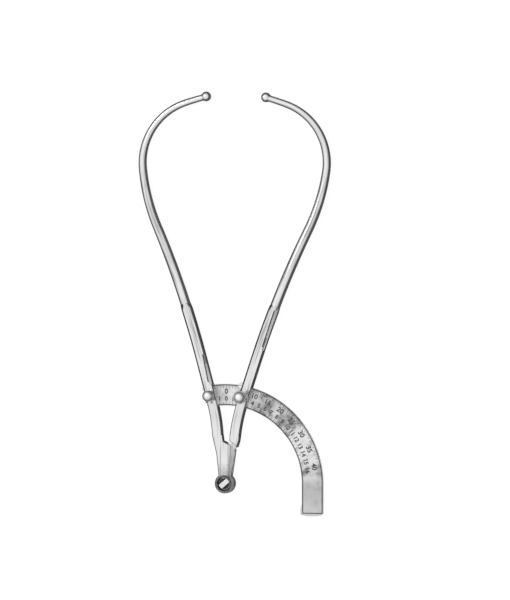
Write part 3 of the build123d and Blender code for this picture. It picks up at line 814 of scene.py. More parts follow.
class Workshop:
    """Holds the materials and turns finished meshes into pieces of the frame."""

    def __init__(self) -> None:
        """Build the shared node groups and one material for each finish."""
        groups = {
            "grinding": make_grinding_group(),
            "handling": make_handling_group(),
            "specks": make_speckle_group(),
            "streaks": make_streak_group(),
            "grime": make_painted_shade_group(),
        }
        self.materials = {finish: finish.value.material(groups) for finish in Finish}
        self.count = 0

    def ease_edges(self, bm: BMesh, edge: float, least: float, crease: float) -> None:
        """Round the sharp edges, mark them for their own colour (light wear, or a dark painted
        shade outline), and draw the other creases.

        Args:
            bm: The mesh, in millimetres.
            edge: Width of the rounding, zero for none.
            least: Least angle that gets the rounding.
            crease: Least angle that is drawn as a crease.
        """
        worn = bm.faces.layers.float.new(EDGE_WEAR_AND_SHADE)
        if edge:
            corners = [e for e in bm.edges if e.is_manifold and e.calc_face_angle() > least]
            rounding = bmesh.ops.bevel(
                bm, geom=corners, offset=edge, offset_type="OFFSET", segments=2, profile=0.5,
                affect="EDGES", clamp_overlap=True, material=-1,
            )
            for face in rounding["faces"]:
                face[worn] = 1.0
        for face in bm.faces:
            face.smooth = True
        for e in bm.edges:
            rounded = any(face[worn] for face in e.link_faces)
            e.smooth = rounded or not e.is_manifold or e.calc_face_angle() < crease

    def add(
        self,
        bm: BMesh,
        name: str,
        body: Body,
        finish: Finish,
        slot: str,
        replaces: Sequence[str] = (),
        edge: float = 0.0,
        edge_angle: float = 35.0,
        crease_angle: float = 35.0,
    ) -> None:
        """Make a mesh in millimetres a piece that rides on a body.

        Args:
            bm: The finished mesh, in its place.
            name: The piece's name.
            body: The body that it rides on.
            finish: Its finish.
            slot: The record's material slot; not used.
            replaces: CAD nodes that it stands for.
            edge: Width of the rounding on its sharp edges, zero for none.
            edge_angle: Least angle between faces that gets the rounding.
            crease_angle: Least angle between faces that is drawn as a crease.
        """
        self.ease_edges(bm, edge, radians(edge_angle), radians(crease_angle))
        bmesh.ops.scale(bm, vec=(MM, MM, MM), verts=bm.verts)
        mesh = as_mesh(bm, name)
        mesh.materials.append(self.materials[finish])
        made = add_object(name, mesh)
        if edge:
            made.modifiers.new("level_flats", "WEIGHTED_NORMAL").keep_sharp = True
        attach(made, body.value)
        if replaces:
            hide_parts(*replaces)
        self.count += 1
        log.info("%s: %d faces on %s", name, len(mesh.polygons), body.value)


# The arms


@dataclass(frozen=True)
class Station:
    """A place on a centreline, with the way that the line runs there."""

    point: Vector
    heading: Vector
    distance: float

    def frame(self, radius: float) -> Matrix:
        """The placing of a unit circle across the line, at a radius."""
        turn = Matrix((right_of(self.heading), -UP, self.heading)).transposed().to_4x4()
        return Matrix.Translation(self.point) @ turn @ Matrix.Diagonal((radius, radius, 1.0, 1.0))


@dataclass(frozen=True)
class Stretch:
    """A stretch of a centreline: an arc that ends at a lean, or a straight run."""

    lean: float
    radius: float = 0.0
    length: float = 0.0


@dataclass(frozen=True)
class Centreline:
    """The arm's centreline from the top of its bar to the seat of its ball."""

    side: Side
    mid_height: float
    foot: Point = (7.3, 39.0)
    foot_lean: float = 5.0
    bar: tuple[Stretch, ...] = (
        Stretch(16.5, radius=139.0),
        Stretch(16.5, length=37.1),
        Stretch(19.6, radius=730.0),
        Stretch(19.6, length=7.0),
    )
    rod: tuple[Stretch, ...] = (
        Stretch(24.5, radius=730.0),
        Stretch(24.5, length=6.0),
        Stretch(7.0, radius=160.0),
        Stretch(-68.5, radius=51.0),
        Stretch(-73.0, radius=110.0),
        Stretch(-73.0, length=9.16),
    )
    pitch: float = 2.2

    def heading(self, lean: float) -> Vector:
        """The direction of the line at a lean from +Y."""
        return Vector((self.side.value * sin(radians(lean)), cos(radians(lean)), 0.0))

    def walk(self, start: Vector, lean: float, stretches: Sequence[Stretch]) -> list[Station]:
        """Stations along some stretches.

        Args:
            start: The first point.
            lean: The lean there.
            stretches: The stretches in order.

        Returns:
            Stations about one pitch apart, the first and last points included.
        """
        stations = [Station(start, self.heading(lean), 0.0)]
        for stretch in stretches:
            origin, first, done = stations[-1].point, lean, stations[-1].distance
            bend = radians(stretch.lean - first)
            length = stretch.length or stretch.radius * abs(bend)
            steps = max(2, round(length / self.pitch))
            for step in range(1, steps + 1):
                share = step / steps
                now = first + (stretch.lean - first) * share
                if stretch.length:
                    point = origin + self.heading(first) * length * share
                else:
                    grow = stretch.radius if bend > 0 else -stretch.radius
                    a, b = radians(first), radians(now)
                    swing = Vector((self.side.value * (cos(a) - cos(b)), sin(b) - sin(a), 0.0))
                    point = origin + swing * grow
                stations.append(Station(point, self.heading(now), done + length * share))
            lean = stretch.lean
        return stations

    def bar_stations(self) -> list[Station]:
        """Stations of the square bar, from the foot to where the round rod begins."""
        foot = Vector((self.side.value * self.foot[0], self.foot[1], self.mid_height))
        return self.walk(foot, self.foot_lean, self.bar)

    def rod_stations(self) -> list[Station]:
        """Stations of the rod, from the bar to the seat of the ball."""
        return self.walk(self.bar_stations()[-1].point, self.bar[-1].lean, self.rod)


@dataclass
class Arm:
    """One arm: the square bar with its head or tongue, the round rod and the ball."""

    side: Side
    body: Body
    node: str
    ball_node: str
    # The two ends of the line on the bar's front where its long flat starts.
    flat_foot: Point
    flat_top: Point
    thickness: float = 8.4
    root_diameter: float = 8.4
    tip_diameter: float = 5.2
    taper_power: float = 1.3
    sides: int = 40
    ball_diameter: float = 8.0
    ball_steps: int = 28
    ball_sides: int = 56
    braze: float = 0.55
    # Share of the rod's radius where the braze starts, inside the rod.
    braze_root: float = 0.98
    # Shares of the braze, out from the rod and back from the ball's seat.
    braze_profile: tuple[Point, ...] = ((0.12, 1.0), (0.4, 0.25))
    crease: float = 5.5
    cut_pitch: float = 7.5
    overlap: float = 0.05
    eye_reach: float = 12.0
    recess_reach: float = 5.95
    flat_tilts: tuple[float, float] = (5.0, 60.0)
    chamfer: float = 0.8
    flat_ease: float = 0.85
    flat_fade: float = 8.0
    flat_overrun: float = 2.0
    seam_width: float = 0.95
    edge_strip: float = 0.55
    edge_foot: float = 78.0
    # Least leftward part of the broken edge's normal, and the limits of its upward part.
    edge_left: float = 0.4
    edge_up: tuple[float, float] = (0.4, 0.9)
    # Length of the longest face that still belongs to the edge strip, in pitches of the cuts.
    strip_cuts: float = 1.5
    line: Centreline = field(init=False)
    bar: list[Station] = field(init=False)
    flat_start: Vector = field(init=False)
    flat_right: Vector = field(init=False)

    def __post_init__(self) -> None:
        """Lay the centreline at half the arm's thickness, and the line where the flat starts."""
        self.line = Centreline(self.side, self.thickness / 2)
        self.bar = self.line.bar_stations()
        self.flat_start = Vector((*self.flat_foot, self.thickness))
        along = Vector((*self.flat_top, self.thickness)) - self.flat_start
        self.flat_right = right_of(along.normalized())

    def rod_radius(self, share: float) -> float:
        """The rod's radius at a share of its length from the bar."""
        drop = (self.root_diameter - self.tip_diameter) * share**self.taper_power
        return (self.root_diameter - drop) / 2

    def bar_mesh(self) -> BMesh:
        """The bar and head of the CAD arm, cut off where the rod begins.

        Returns:
            The mesh, with its seam, its edge strip, its marks and its grain.
        """
        bm = cad_mesh(self.node)
        top = self.bar[-1]
        cut_through(bm, top.point + top.heading * self.overlap, top.heading, clear=True)
        close_holes(bm)
        finer_rings(bm, farthest=self.eye_reach)
        level = self.cut_pitch
        while level < top.point.y:
            cut_through(bm, Vector((0.0, level, 0.0)), Vector((0.0, 1.0, 0.0)))
            level += self.cut_pitch
        self.ease_flat(bm)
        self.part_left_edge(bm)
        mark_faces(bm, GROUND_AND_SHADE, self.ground_and_shade_share)
        mark_faces(bm, PAINTED_SHADE_FACES, self.shade_share)
        set_grain(bm, self.bar_grain)
        return bm

    def beside_flat(self, place: Vector) -> float:
        """How far a place lies to the right of the line where the long flat starts."""
        return (place - self.flat_start).dot(self.flat_right)

    def ease_flat(self, bm: BMesh) -> None:
        """Lay the long flat back, so that it catches the light, and part a seam along it.

        Args:
            bm: The bar's mesh, already cut into short lengths.
        """
        foot, top = self.flat_foot[1], self.flat_top[1]
        for vert in bm.verts:
            deep = self.thickness - vert.co.z
            inside = foot < vert.co.y and self.beside_flat(vert.co) > 0
            if inside and self.chamfer < deep < self.thickness / 2:
                fade = (top + self.flat_overrun - vert.co.y) / self.flat_fade
                vert.co.z += (deep - self.chamfer) * self.flat_ease * min(max(fade, 0.0), 1.0)
        front = [
            face for face in bm.faces
            if face.normal.z > LEVEL and face.calc_center_median().z > self.thickness / 2
        ]
        seam = self.flat_start - self.flat_right * self.seam_width
        cut_through(bm, seam, self.flat_right, faces=front)

    def on_left_edge(self, face: BMFace) -> bool:
        """Whether a face lies on the broken edge at the left of the bar's front.

        Args:
            face: The face.

        Returns:
            True above the foot of the edge, where the face leans to the left.
        """
        low, high = self.edge_up
        leans = face.normal.x < -self.edge_left and low < face.normal.z < high
        return leans and face.calc_center_median().y > self.edge_foot

    def part_left_edge(self, bm: BMesh) -> None:
        """Part a narrow strip of the front along its left edge, for the dark painted shade outline
        laid there.

        Args:
            bm: The bar's mesh, already cut into short lengths.
        """
        edges = [
            edge for edge in bm.edges
            if edge.is_manifold and any(self.on_left_edge(face) for face in edge.link_faces)
            and any(face.normal.z > LEVEL for face in edge.link_faces)
        ]
        bmesh.ops.bevel(
            bm, geom=edges, offset=self.edge_strip, offset_type="OFFSET", segments=2, profile=1.0,
            affect="EDGES", clamp_overlap=False, material=-1,
        )

    def bar_grain(self, place: Vector) -> Vector:
        """The grain of the bar and its head.

        Args:
            place: A place on the bar.

        Returns:
            How far it lies off the centreline, along it and up.
        """
        foot_x, foot_y = self.line.foot
        if place.y < foot_y:
            return Vector((self.side.value * place.x - foot_x, place.y - foot_y, place.z))
        near = min(self.bar, key=lambda station: (station.point - place).xy.length_squared)
        off = place - near.point
        across = right_of(near.heading) * self.side.value
        return Vector((off.dot(across), near.distance + off.dot(near.heading), place.z))

    def shade_share(self, face: BMFace) -> float:
        """How much painted shade a face of the bar takes.

        Args:
            face: The face.

        Returns:
            One in the recess round the pivot screw, in the seam along the long flat and at
            the left edge, and none elsewhere.
        """
        middle = face.calc_center_median()
        narrow = face.calc_area() < self.strip_cuts * self.cut_pitch * self.edge_strip
        beside = any(self.on_left_edge(other) for edge in face.edges for other in edge.link_faces)
        recess = middle.xy.length < self.recess_reach and middle.z > self.thickness / 2
        seam = face.normal.z > LEVEL and -self.seam_width < self.beside_flat(middle) < 0
        seam = seam and self.flat_foot[1] < middle.y < self.flat_top[1]
        return float(self.on_left_edge(face) or (narrow and beside) or recess or seam)

    def ground_and_shade_share(self, face: BMFace) -> float:
        """One for the narrow tilted flats, left as ground and darkened as painted shade; none for
        the polished faces.
        """
        low, high = self.flat_tilts
        return float(face.normal.z > 0 and low < degrees(face.normal.angle(UP)) < high)

    def rod_mesh(self) -> BMesh:
        """The round rod, drawn out station by station from one circle.

        Returns:
            The closed mesh, with its grain along the rod.
        """
        bm = bmesh.new()
        layer = bm.verts.layers.float_vector.new(GRAIN)
        stations = self.line.rod_stations()
        total = stations[-1].distance
        ring = bmesh.ops.create_circle(bm, segments=self.sides, radius=1.0)["verts"]
        for vert in ring:
            vert[layer] = Vector((vert.co.x, 0.0, vert.co.y)) * (self.root_diameter / 2 * MM)
        place = stations[0].frame(self.rod_radius(0.0))
        bmesh.ops.transform(bm, matrix=place, verts=ring)
        for station in stations[1:]:
            touching = dict.fromkeys(edge for vert in ring for edge in vert.link_edges)
            rim = [edge for edge in touching if edge.is_boundary or edge.is_wire]
            ring = only(BMVert, bmesh.ops.extrude_edge_only(bm, edges=rim)["geom"])
            following = station.frame(self.rod_radius(station.distance / total))
            bmesh.ops.transform(bm, matrix=following @ place.inverted(), verts=ring)
            for vert in ring:
                vert[layer] = Vector((vert[layer].x, station.distance * MM, vert[layer].z))
            place = following
        close_holes(bm)
        bmesh.ops.recalc_face_normals(bm, faces=bm.faces)
        return bm

    def ball_mesh(self) -> BMesh:
        """The ball with the small collar of braze that joins it to the rod.

        Returns:
            The closed mesh, in its place on the rod.
        """
        seat = self.line.rod_stations()[-1]
        ball, rod, braze = self.ball_diameter, self.tip_diameter / 2, self.braze
        profile = [(rod * self.braze_root, -braze)]
        profile += [(rod + braze * out, -braze * down) for out, down in self.braze_profile]
        seat_height = sqrt((ball / 2) ** 2 - rod**2)
        profile += ball_points(ball, 2 * (rod + braze), seat_height, self.ball_steps)
        bm = spun(profile, Vector(), steps=self.ball_sides)
        tilt = UP.rotation_difference(seat.heading).to_matrix().to_4x4()
        bmesh.ops.transform(bm, matrix=Matrix.Translation(seat.point) @ tilt, verts=bm.verts)
        return bm

    def build(self, shop: Workshop) -> None:
        """Make the arm's pieces.

        Args:
            shop: The workshop that finishes them.
        """
        name, slot = self.side.name.lower(), "polished_steel"
        shop.add(
            self.bar_mesh(), f"{name}_bar", self.body, Finish.POLISHED, slot,
            replaces=[self.node], crease_angle=self.crease,
        )
        shop.add(self.rod_mesh(), f"{name}_rod", self.body, Finish.POLISHED, slot)
        shop.add(
            self.ball_mesh(), f"{name}_ball", self.body, Finish.TURNED, slot,
            replaces=[self.ball_node],
        )


# The hinge


@dataclass
class Hinge:
    """The pivot screw with its washers and its round nut."""

    edge: float = 0.12
    thin_edge: float = 0.04
    # Depth below the head's top where the screw's painted shade starts.
    unshaded_depth: float = 0.35

    def build(self, shop: Workshop) -> None:
        """Make the hinge's pieces.

        Args:
            shop: The workshop that finishes them.
        """
        pieces = (
            ("hinge_screw", "pivot_screw", Finish.TURNED, "turned_steel", self.edge),
            ("hinge_spring_washer", "spring_washer", Finish.PLAIN, "plain_steel", self.thin_edge),
            ("front_joint_washer", "front_washer", Finish.BRASS, "brass", self.thin_edge),
            ("back_joint_washer", "back_washer", Finish.BRASS, "brass", self.thin_edge),
            ("hinge_nut", "pivot_nut", Finish.PLAIN, "plain_steel", self.edge),
        )
        for node, name, finish, slot, edge in pieces:
            bm = cad_mesh(node)
            finer_rings(bm)
            set_grain(bm, turned_rule(Vector()))
            if node == "hinge_screw":
                # Below the head's top face the screw takes painted shade, in its slot and round its
                # head.
                shaded_below = node_box(node)[1].z - self.unshaded_depth
                mark_faces(bm, PAINTED_SHADE_FACES, lambda face: float(face.calc_center_median().z < shaded_below))
            shop.add(bm, name, Body.FIXED, finish, slot, replaces=[node], edge=edge)


# The scale


@dataclass
class Scale:
    """The quadrant scale: satin band, engraved lines and two rows of numbers."""

    inner_radius: float = 63.7
    width: float = 17.7
    ball_radius: float = 317.3
    ball_diameter: float = 8.0
    half_tip_angle: float = 4.52
    index_angle: float = 6.6
    border_start: float = -11.5
    first_centimetre: int = -8
    last_centimetre: int = 42
    numbered: int = 5
    border_inset: float = 0.8
    border_width: float = 0.8
    line_width: float = 0.32
    stroke_lengths: tuple[float, float] = (2.2, 1.2)
    inch_height: float = 3.5
    centimetre_height: float = 4.0
    inch_row: float = 5.6
    centimetre_row: float = 11.5
    boldness: float = 0.2
    capital_share: float = 0.7
    curve_steps: int = 3
    end_angle: float = 88.5
    end_length: float = 23.6
    ink_rise: float = 0.02
    edge: float = 0.15
    first_cut: float = -12.0
    cut_step: float = 4.0
    band_cuts: int = 30
    top: float = field(init=False)

    def __post_init__(self) -> None:
        """Take the level of the scale's face from the frame."""
        self.top = node_box("scale_band")[1].z

    def reading_angle(self, gap: float) -> float:
        """Where the index stands for a gap between the balls.

        Args:
            gap: The gap; one under zero gives the stroke as far on the other side of zero.

        Returns:
            The angle from +Y towards +X in degrees.
        """
        spread = 2 * degrees(asin((abs(gap) + self.ball_diameter) / 2 / self.ball_radius))
        closed = 2 * degrees(asin(self.ball_diameter / 2 / self.ball_radius))
        opened = spread if gap >= 0 else 2 * closed - spread
        return self.index_angle - 2 * self.half_tip_angle + opened

    def polar(self, radius: float, angle: float) -> Matrix:
        """The placing on the scale's face at a radius and an angle, with Y pointing outward."""
        turn = Matrix.Rotation(-radians(angle), 4, "Z")
        return turn @ Matrix.Translation((0.0, radius, self.top))

    def ends_in(self, unit: float) -> tuple[int, int]:
        """The scale's first and last reading in whole units."""
        ends = (self.first_centimetre, self.last_centimetre)
        return tuple(int(end * CENTIMETRE / unit) for end in ends)

    def band_mesh(self) -> BMesh:
        """The band of the CAD model, cut across into short lengths.

        Returns:
            The mesh, its grain laid along the arc.
        """
        bm = cad_mesh("scale_band")
        middle = self.inner_radius + self.width / 2
        for step in range(self.band_cuts):
            turn = radians(self.first_cut + step * self.cut_step)
            cut_through(bm, Vector(), Vector((cos(turn), -sin(turn), 0.0)))
        finer_rings(bm)
        set_grain(bm, lambda at: Vector((at.xy.length, atan2(at.x, at.y) * middle, at.z)))
        return bm

    def stroke(self, bm: BMesh, gap: float, start: float, length: float) -> None:
        """Add one short radial line.

        Args:
            bm: The mesh that collects the lines.
            gap: The reading that it marks.
            start: Radius where it begins.
            length: Its length outward.
        """
        place = self.polar(start + length / 2, self.reading_angle(gap))
        size = Matrix.Diagonal((self.line_width, length, self.ink_rise * 2, 1.0))
        bmesh.ops.create_cube(bm, size=1.0, matrix=place @ size)

    def border(self, bm: BMesh, radius: float) -> None:
        """Add the long line along an edge of the band, round the arc and down its straight end.

        Args:
            bm: The mesh that collects the lines.
            radius: The line's radius.
        """
        line = bmesh.new()
        half, rise = self.border_width / 2, self.ink_rise
        corners = ((-half, -rise), (half, -rise), (half, rise), (-half, rise))
        turn = Matrix.Rotation(-radians(self.border_start), 4, "Z")
        verts = [line.verts.new(turn @ Vector((0.0, radius + x, self.top + z))) for x, z in corners]
        sweep = self.end_angle - self.border_start
        grown = bmesh.ops.spin(
            line, geom=[line.faces.new(verts)], cent=(0, 0, 0), axis=(0, 0, -1),
            angle=radians(sweep), steps=round(sweep), use_duplicate=False,
        )
        last = only(BMFace, grown["geom_last"])
        end = only(BMVert, bmesh.ops.extrude_face_region(line, geom=last)["geom"])
        reach = Vector((self.end_length + half, 0.0, 0.0))
        down = self.polar(0.0, self.end_angle).to_3x3() @ reach
        bmesh.ops.translate(line, vec=down, verts=end)
        inner = [face for face in line.faces if all(not edge.is_manifold for edge in face.edges)]
        bmesh.ops.delete(line, geom=inner, context="FACES_ONLY")
        bmesh.ops.recalc_face_normals(line, faces=line.faces)
        take_in(bm, as_mesh(line, "line"))

    def lines_mesh(self) -> BMesh:
        """All the engraved lines.

        Returns:
            Both borders and the line across the end, the centimetre and the inch strokes.
        """
        bm = bmesh.new()
        base = self.inner_radius + self.border_inset
        outer = self.inner_radius + self.width - self.border_inset
        self.border(bm, base)
        self.border(bm, outer)
        across = (self.border_width, outer - base - self.border_width, self.ink_rise * 2, 1.0)
        shift = Matrix.Translation((self.end_length, 0.0, 0.0))
        end = self.polar((base + outer) / 2, self.end_angle) @ shift
        bmesh.ops.create_cube(bm, size=1.0, matrix=end @ Matrix.Diagonal(across))
        long, short = self.stroke_lengths
        half = self.border_width / 2
        first, last = self.ends_in(CENTIMETRE / 2)
        for step in range(first, last + 1):
            length = short if step % 2 else long
            self.stroke(bm, step * CENTIMETRE / 2, outer - half - length, length)
        for step in range(*self.ends_in(INCH / 2)):
            self.stroke(bm, step * INCH / 2, base + half, short if step % 2 else long)
        return bm

    def number(self, text: str, radius: float, angle: float, height: float) -> bpy.types.Mesh:
        """One number as a thin mesh on the scale's face.

        Args:
            text: The number.
            radius: Radius of its middle.
            angle: Its angle from +Y.
            height: Its height.

        Returns:
            The mesh, in millimetres.
        """
        curve = bpy.data.curves.new("number", "FONT")
        curve.body = text
        curve.size = height / self.capital_share
        curve.align_x, curve.align_y = "CENTER", "CENTER"
        curve.offset = self.boldness
        curve.extrude = self.ink_rise
        curve.resolution_u = self.curve_steps
        holder = add_object("number", curve)
        bpy.context.view_layer.update()
        shown = holder.evaluated_get(bpy.context.evaluated_depsgraph_get())
        mesh = bpy.data.meshes.new_from_object(shown)
        mesh.transform(self.polar(radius, angle))
        bpy.data.objects.remove(holder)
        bpy.data.curves.remove(curve)
        return mesh

    def numbers_mesh(self) -> BMesh:
        """Both rows of numbers.

        Returns:
            Every fifth centimetre outside, and the inches along the inside.
        """
        bm = bmesh.new()
        first, last = self.ends_in(INCH)
        centimetres = range(-self.numbered, self.last_centimetre + 1, self.numbered)
        for values, unit, row, height in (
            (centimetres, CENTIMETRE, self.centimetre_row, self.centimetre_height),
            (range(first, last + 1), INCH, self.inch_row, self.inch_height),
        ):
            for value in values:
                angle = self.reading_angle(value * unit)
                take_in(bm, self.number(str(abs(value)), self.inner_radius + row, angle, height))
        return bm

    def build(self, shop: Workshop) -> None:
        """Make the scale's pieces.

        Args:
            shop: The workshop that finishes them.
        """
        slot = "scale_steel"
        shop.add(
            self.band_mesh(), "scale_plate", Body.FIXED, Finish.SATIN, slot,
            replaces=["scale_band"], edge=self.edge,
        )
        shop.add(self.lines_mesh(), "scale_lines", Body.FIXED, Finish.INK, slot)
        shop.add(self.numbers_mesh(), "scale_numbers", Body.FIXED, Finish.WORN_INK, slot)


# The ball-headed screws


@dataclass
class FixingScrew:
    """The plain ball-headed screw that holds the scale in the left arm, and the steady pin."""

    ball: float = 9.6
    neck: float = 3.6
    # Steps out from the neck and up from the collar.
    neck_fillet: tuple[Point, ...] = ((0.5, 0.25), (0.1, 0.7), (0.0, 1.2))
    collar: float = 6.6
    collar_height: float = 1.0
    shank: float = 4.0
    round_over: float = 0.25
    round_steps: int = 4
    pin_edge: float = 0.1

    def build(self, shop: Workshop) -> None:
        """Make the screw and the steady pin.

        Args:
            shop: The workshop that finishes them.
        """
        low, high = node_box("scale_screw")
        seat = node_box("right_arm")[1].z
        rim = seat + self.collar_height
        eased, inset = self.round_over, self.collar / 2 - self.round_over
        profile = [(0.0, low.z), (self.shank / 2 - eased, low.z)]
        profile += [(self.shank / 2, low.z + eased), (self.shank / 2, seat), (inset, seat)]
        profile += arc_points(eased, (inset, seat + eased), -90, 0, self.round_steps)
        profile += arc_points(eased, (inset, rim - eased), 0, 90, self.round_steps)
        profile += [(self.neck / 2 + out, rim + up) for out, up in self.neck_fillet]
        profile += ball_points(self.ball, self.neck, high.z - self.ball / 2)
        shop.add(
            spun(profile, node_axis("scale_screw")), "fixing_screw", Body.FIXED, Finish.KNOB,
            "turned_steel", replaces=["scale_screw"],
        )
        pin = cad_mesh("scale_steady_pin")
        set_grain(pin, turned_rule(node_axis("scale_steady_pin")))
        shop.add(
            pin, "steady_pin", Body.FIXED, Finish.PLAIN, "plain_steel",
            replaces=["scale_steady_pin"], edge=self.pin_edge,
        )


@dataclass
class Clamp:
    """The knurled ball-headed clamp screw, its bush and its shoe."""

    ball: float = 9.8
    ring: float = 10.9
    ring_height: float = 2.2
    ring_break: float = 0.4
    ring_edge: float = 0.06
    ring_edge_angle: float = 25.0
    grooves: int = 36
    groove_depth: float = 0.45
    neck: float = 3.8
    neck_rise: float = 0.35
    shank: float = 4.0
    shank_rise: float = 0.1
    tip: float = 2.5
    tip_length: float = 0.6
    thread_rise: float = 0.4
    thread_core: float = 3.3
    thread_room: float = 0.1
    thread_pitch: float = 0.7
    thread_turns: int = 4
    thread_steps: int = 36
    thread_sink: float = 0.05
    # Where the thread's crest starts and ends, in shares of its pitch.
    thread_crest: tuple[float, float] = (0.42, 0.58)
    edge: float = 0.08

    def ring_mesh(self, axis: Vector, centre: float) -> BMesh:
        """The knurled ring round the ball.

        Args:
            axis: A point of the screw's axis.
            centre: Height of the ring's middle.

        Returns:
            The ring, its teeth made from one circle.
        """
        bm = bmesh.new()
        radius, sides = self.ring / 2, 4 * self.grooves
        circle = bmesh.ops.create_circle(bm, cap_ends=True, segments=sides, radius=radius)["verts"]
        inward, broken = (1 - depth / radius for depth in (self.groove_depth, self.ring_break))
        floors = [vert for index, vert in enumerate(circle) if index % 4 in (0, 1)]
        bmesh.ops.scale(bm, vec=(inward, inward, 1.0), verts=floors)
        cap = bm.faces[:]
        for height in (self.ring_break, self.ring_height - 2 * self.ring_break, self.ring_break):
            grown = bmesh.ops.extrude_face_region(bm, geom=cap)["geom"]
            cap, top = only(BMFace, grown), only(BMVert, grown)
            bmesh.ops.translate(bm, vec=(0, 0, height), verts=top)
        bottom = [vert for vert in bm.verts if abs(vert.co.z) < MERGE]
        bmesh.ops.scale(bm, vec=(broken, broken, 1.0), verts=top + bottom)
        caps = [face for face in bm.faces if len(face.verts) == sides]
        inner = [
            face for face in caps
            if MERGE < face.calc_center_median().z < self.ring_height - MERGE
        ]
        bmesh.ops.delete(bm, geom=inner, context="FACES_ONLY")
        bmesh.ops.recalc_face_normals(bm, faces=bm.faces)
        bmesh.ops.translate(bm, vec=axis + UP * (centre - self.ring_height / 2), verts=bm.verts)
        set_grain(bm, lambda place: Vector((place.z, (place - axis).xy.length, 0.0)))
        return bm

    def thread_mesh(self, axis: Vector, start: float) -> BMesh:
        """A short stretch of thread between the bush and the neck.

        Args:
            axis: A point of the screw's axis.
            start: Height where the thread begins.

        Returns:
            The ridge of the thread, wound as a helix.
        """
        bm = bmesh.new()
        sink, pitch = self.thread_sink, self.thread_pitch
        core, crest = self.thread_core / 2 - sink, self.neck / 2
        low, high = (pitch * share for share in self.thread_crest)
        corners = ((core, sink), (crest, low), (crest, high), (core, pitch - sink))
        verts = [bm.verts.new((radius, 0.0, height)) for radius, height in corners]
        bmesh.ops.spin(
            bm, geom=[bm.faces.new(verts)], cent=(0, 0, 0), axis=(0, 0, 1),
            angle=2 * pi * self.thread_turns, dvec=(0, 0, pitch / self.thread_steps),
            steps=self.thread_steps * self.thread_turns, use_duplicate=False,
        )
        bmesh.ops.recalc_face_normals(bm, faces=bm.faces)
        bmesh.ops.translate(bm, vec=axis + UP * start, verts=bm.verts)
        set_grain(bm, turned_rule(axis))
        return bm

    def screw_mesh(self, axis: Vector, thread_start: float) -> BMesh:
        """The ball-headed screw with its thread.

        Args:
            axis: A point of the screw's axis.
            thread_start: Height where the thread begins.

        Returns:
            The turned screw, joined with the ridge of its thread.
        """
        low, high = node_box("clamp_screw")
        step = low.z + self.tip_length
        shank_end = thread_start - self.thread_rise + self.shank_rise
        thread_end = thread_start + self.thread_room + self.thread_turns * self.thread_pitch
        profile = [(0.0, low.z), (self.tip / 2, low.z), (self.tip / 2, step)]
        profile += [(self.shank / 2, step), (self.shank / 2, shank_end)]
        profile += [(self.thread_core / 2, thread_start), (self.thread_core / 2, thread_end)]
        profile += [(self.neck / 2, thread_end + self.neck_rise)]
        profile += ball_points(self.ball, self.neck, high.z - self.ball / 2)
        return joined(spun(profile, axis), self.thread_mesh(axis, thread_start))

    def build(self, shop: Workshop) -> None:
        """Make the clamp's pieces.

        Args:
            shop: The workshop that finishes them.
        """
        axis, slot = node_axis("clamp_screw"), "turned_steel"
        thread_start = node_box("clamp_bush")[1].z + self.thread_rise
        centre = node_box("clamp_screw")[1].z - self.ball / 2
        shop.add(
            self.screw_mesh(axis, thread_start), "clamp_ball_screw", Body.SCREW, Finish.KNOB,
            slot, replaces=["clamp_screw"],
        )
        shop.add(
            self.ring_mesh(axis, centre), "clamp_knurled_ring", Body.SCREW, Finish.KNOB,
            slot, edge=self.ring_edge, edge_angle=self.ring_edge_angle,
        )
        bush = cad_mesh("clamp_bush")
        set_grain(bush, turned_rule(axis))
        shop.add(
            bush, "clamp_collar", Body.MOVING, Finish.TURNED, slot,
            replaces=["clamp_bush"], edge=self.edge,
        )
        shoe = cad_mesh("clamp_shoe")
        set_grain(shoe, lambda place: place.copy())
        shop.add(
            shoe, "clamp_pad", Body.SHOE, Finish.PLAIN, "plain_steel",
            replaces=["clamp_shoe"], edge=self.edge,
        )


@dataclass
class Pointer:
    """The index pointer beside the moving arm, with its line and its screw."""

    line_width: float = 0.25
    line_length: float = 2.2
    line_rise: float = 0.02
    arm_lean: float = 16.5
    edge: float = 0.1
    screw_edge: float = 0.06

    def build(self, shop: Workshop) -> None:
        """Make the pointer's pieces.

        Args:
            shop: The workshop that finishes them.
        """
        slot = "turned_steel"
        for node, name, edge in (
            ("index_pointer", "pointer_block", self.edge),
            ("index_pointer_screw", "pointer_screw", self.screw_edge),
        ):
            bm = cad_mesh(node)
            set_grain(bm, lean_rule(self.arm_lean))
            shop.add(bm, name, Body.MOVING, Finish.TURNED, slot, replaces=[node], edge=edge)
        top = node_box("index_pointer")[1].z
        place = Matrix.Translation(node_axis("index_pointer") + UP * top)
        turn = Matrix.Rotation(-radians(self.arm_lean), 4, "Z")
        size = Matrix.Diagonal((self.line_length, self.line_width, self.line_rise * 2, 1.0))
        mark = bmesh.new()
        bmesh.ops.create_cube(mark, size=1.0, matrix=place @ turn @ size)
        shop.add(mark, "pointer_line", Body.MOVING, Finish.INK, slot)


# The studio


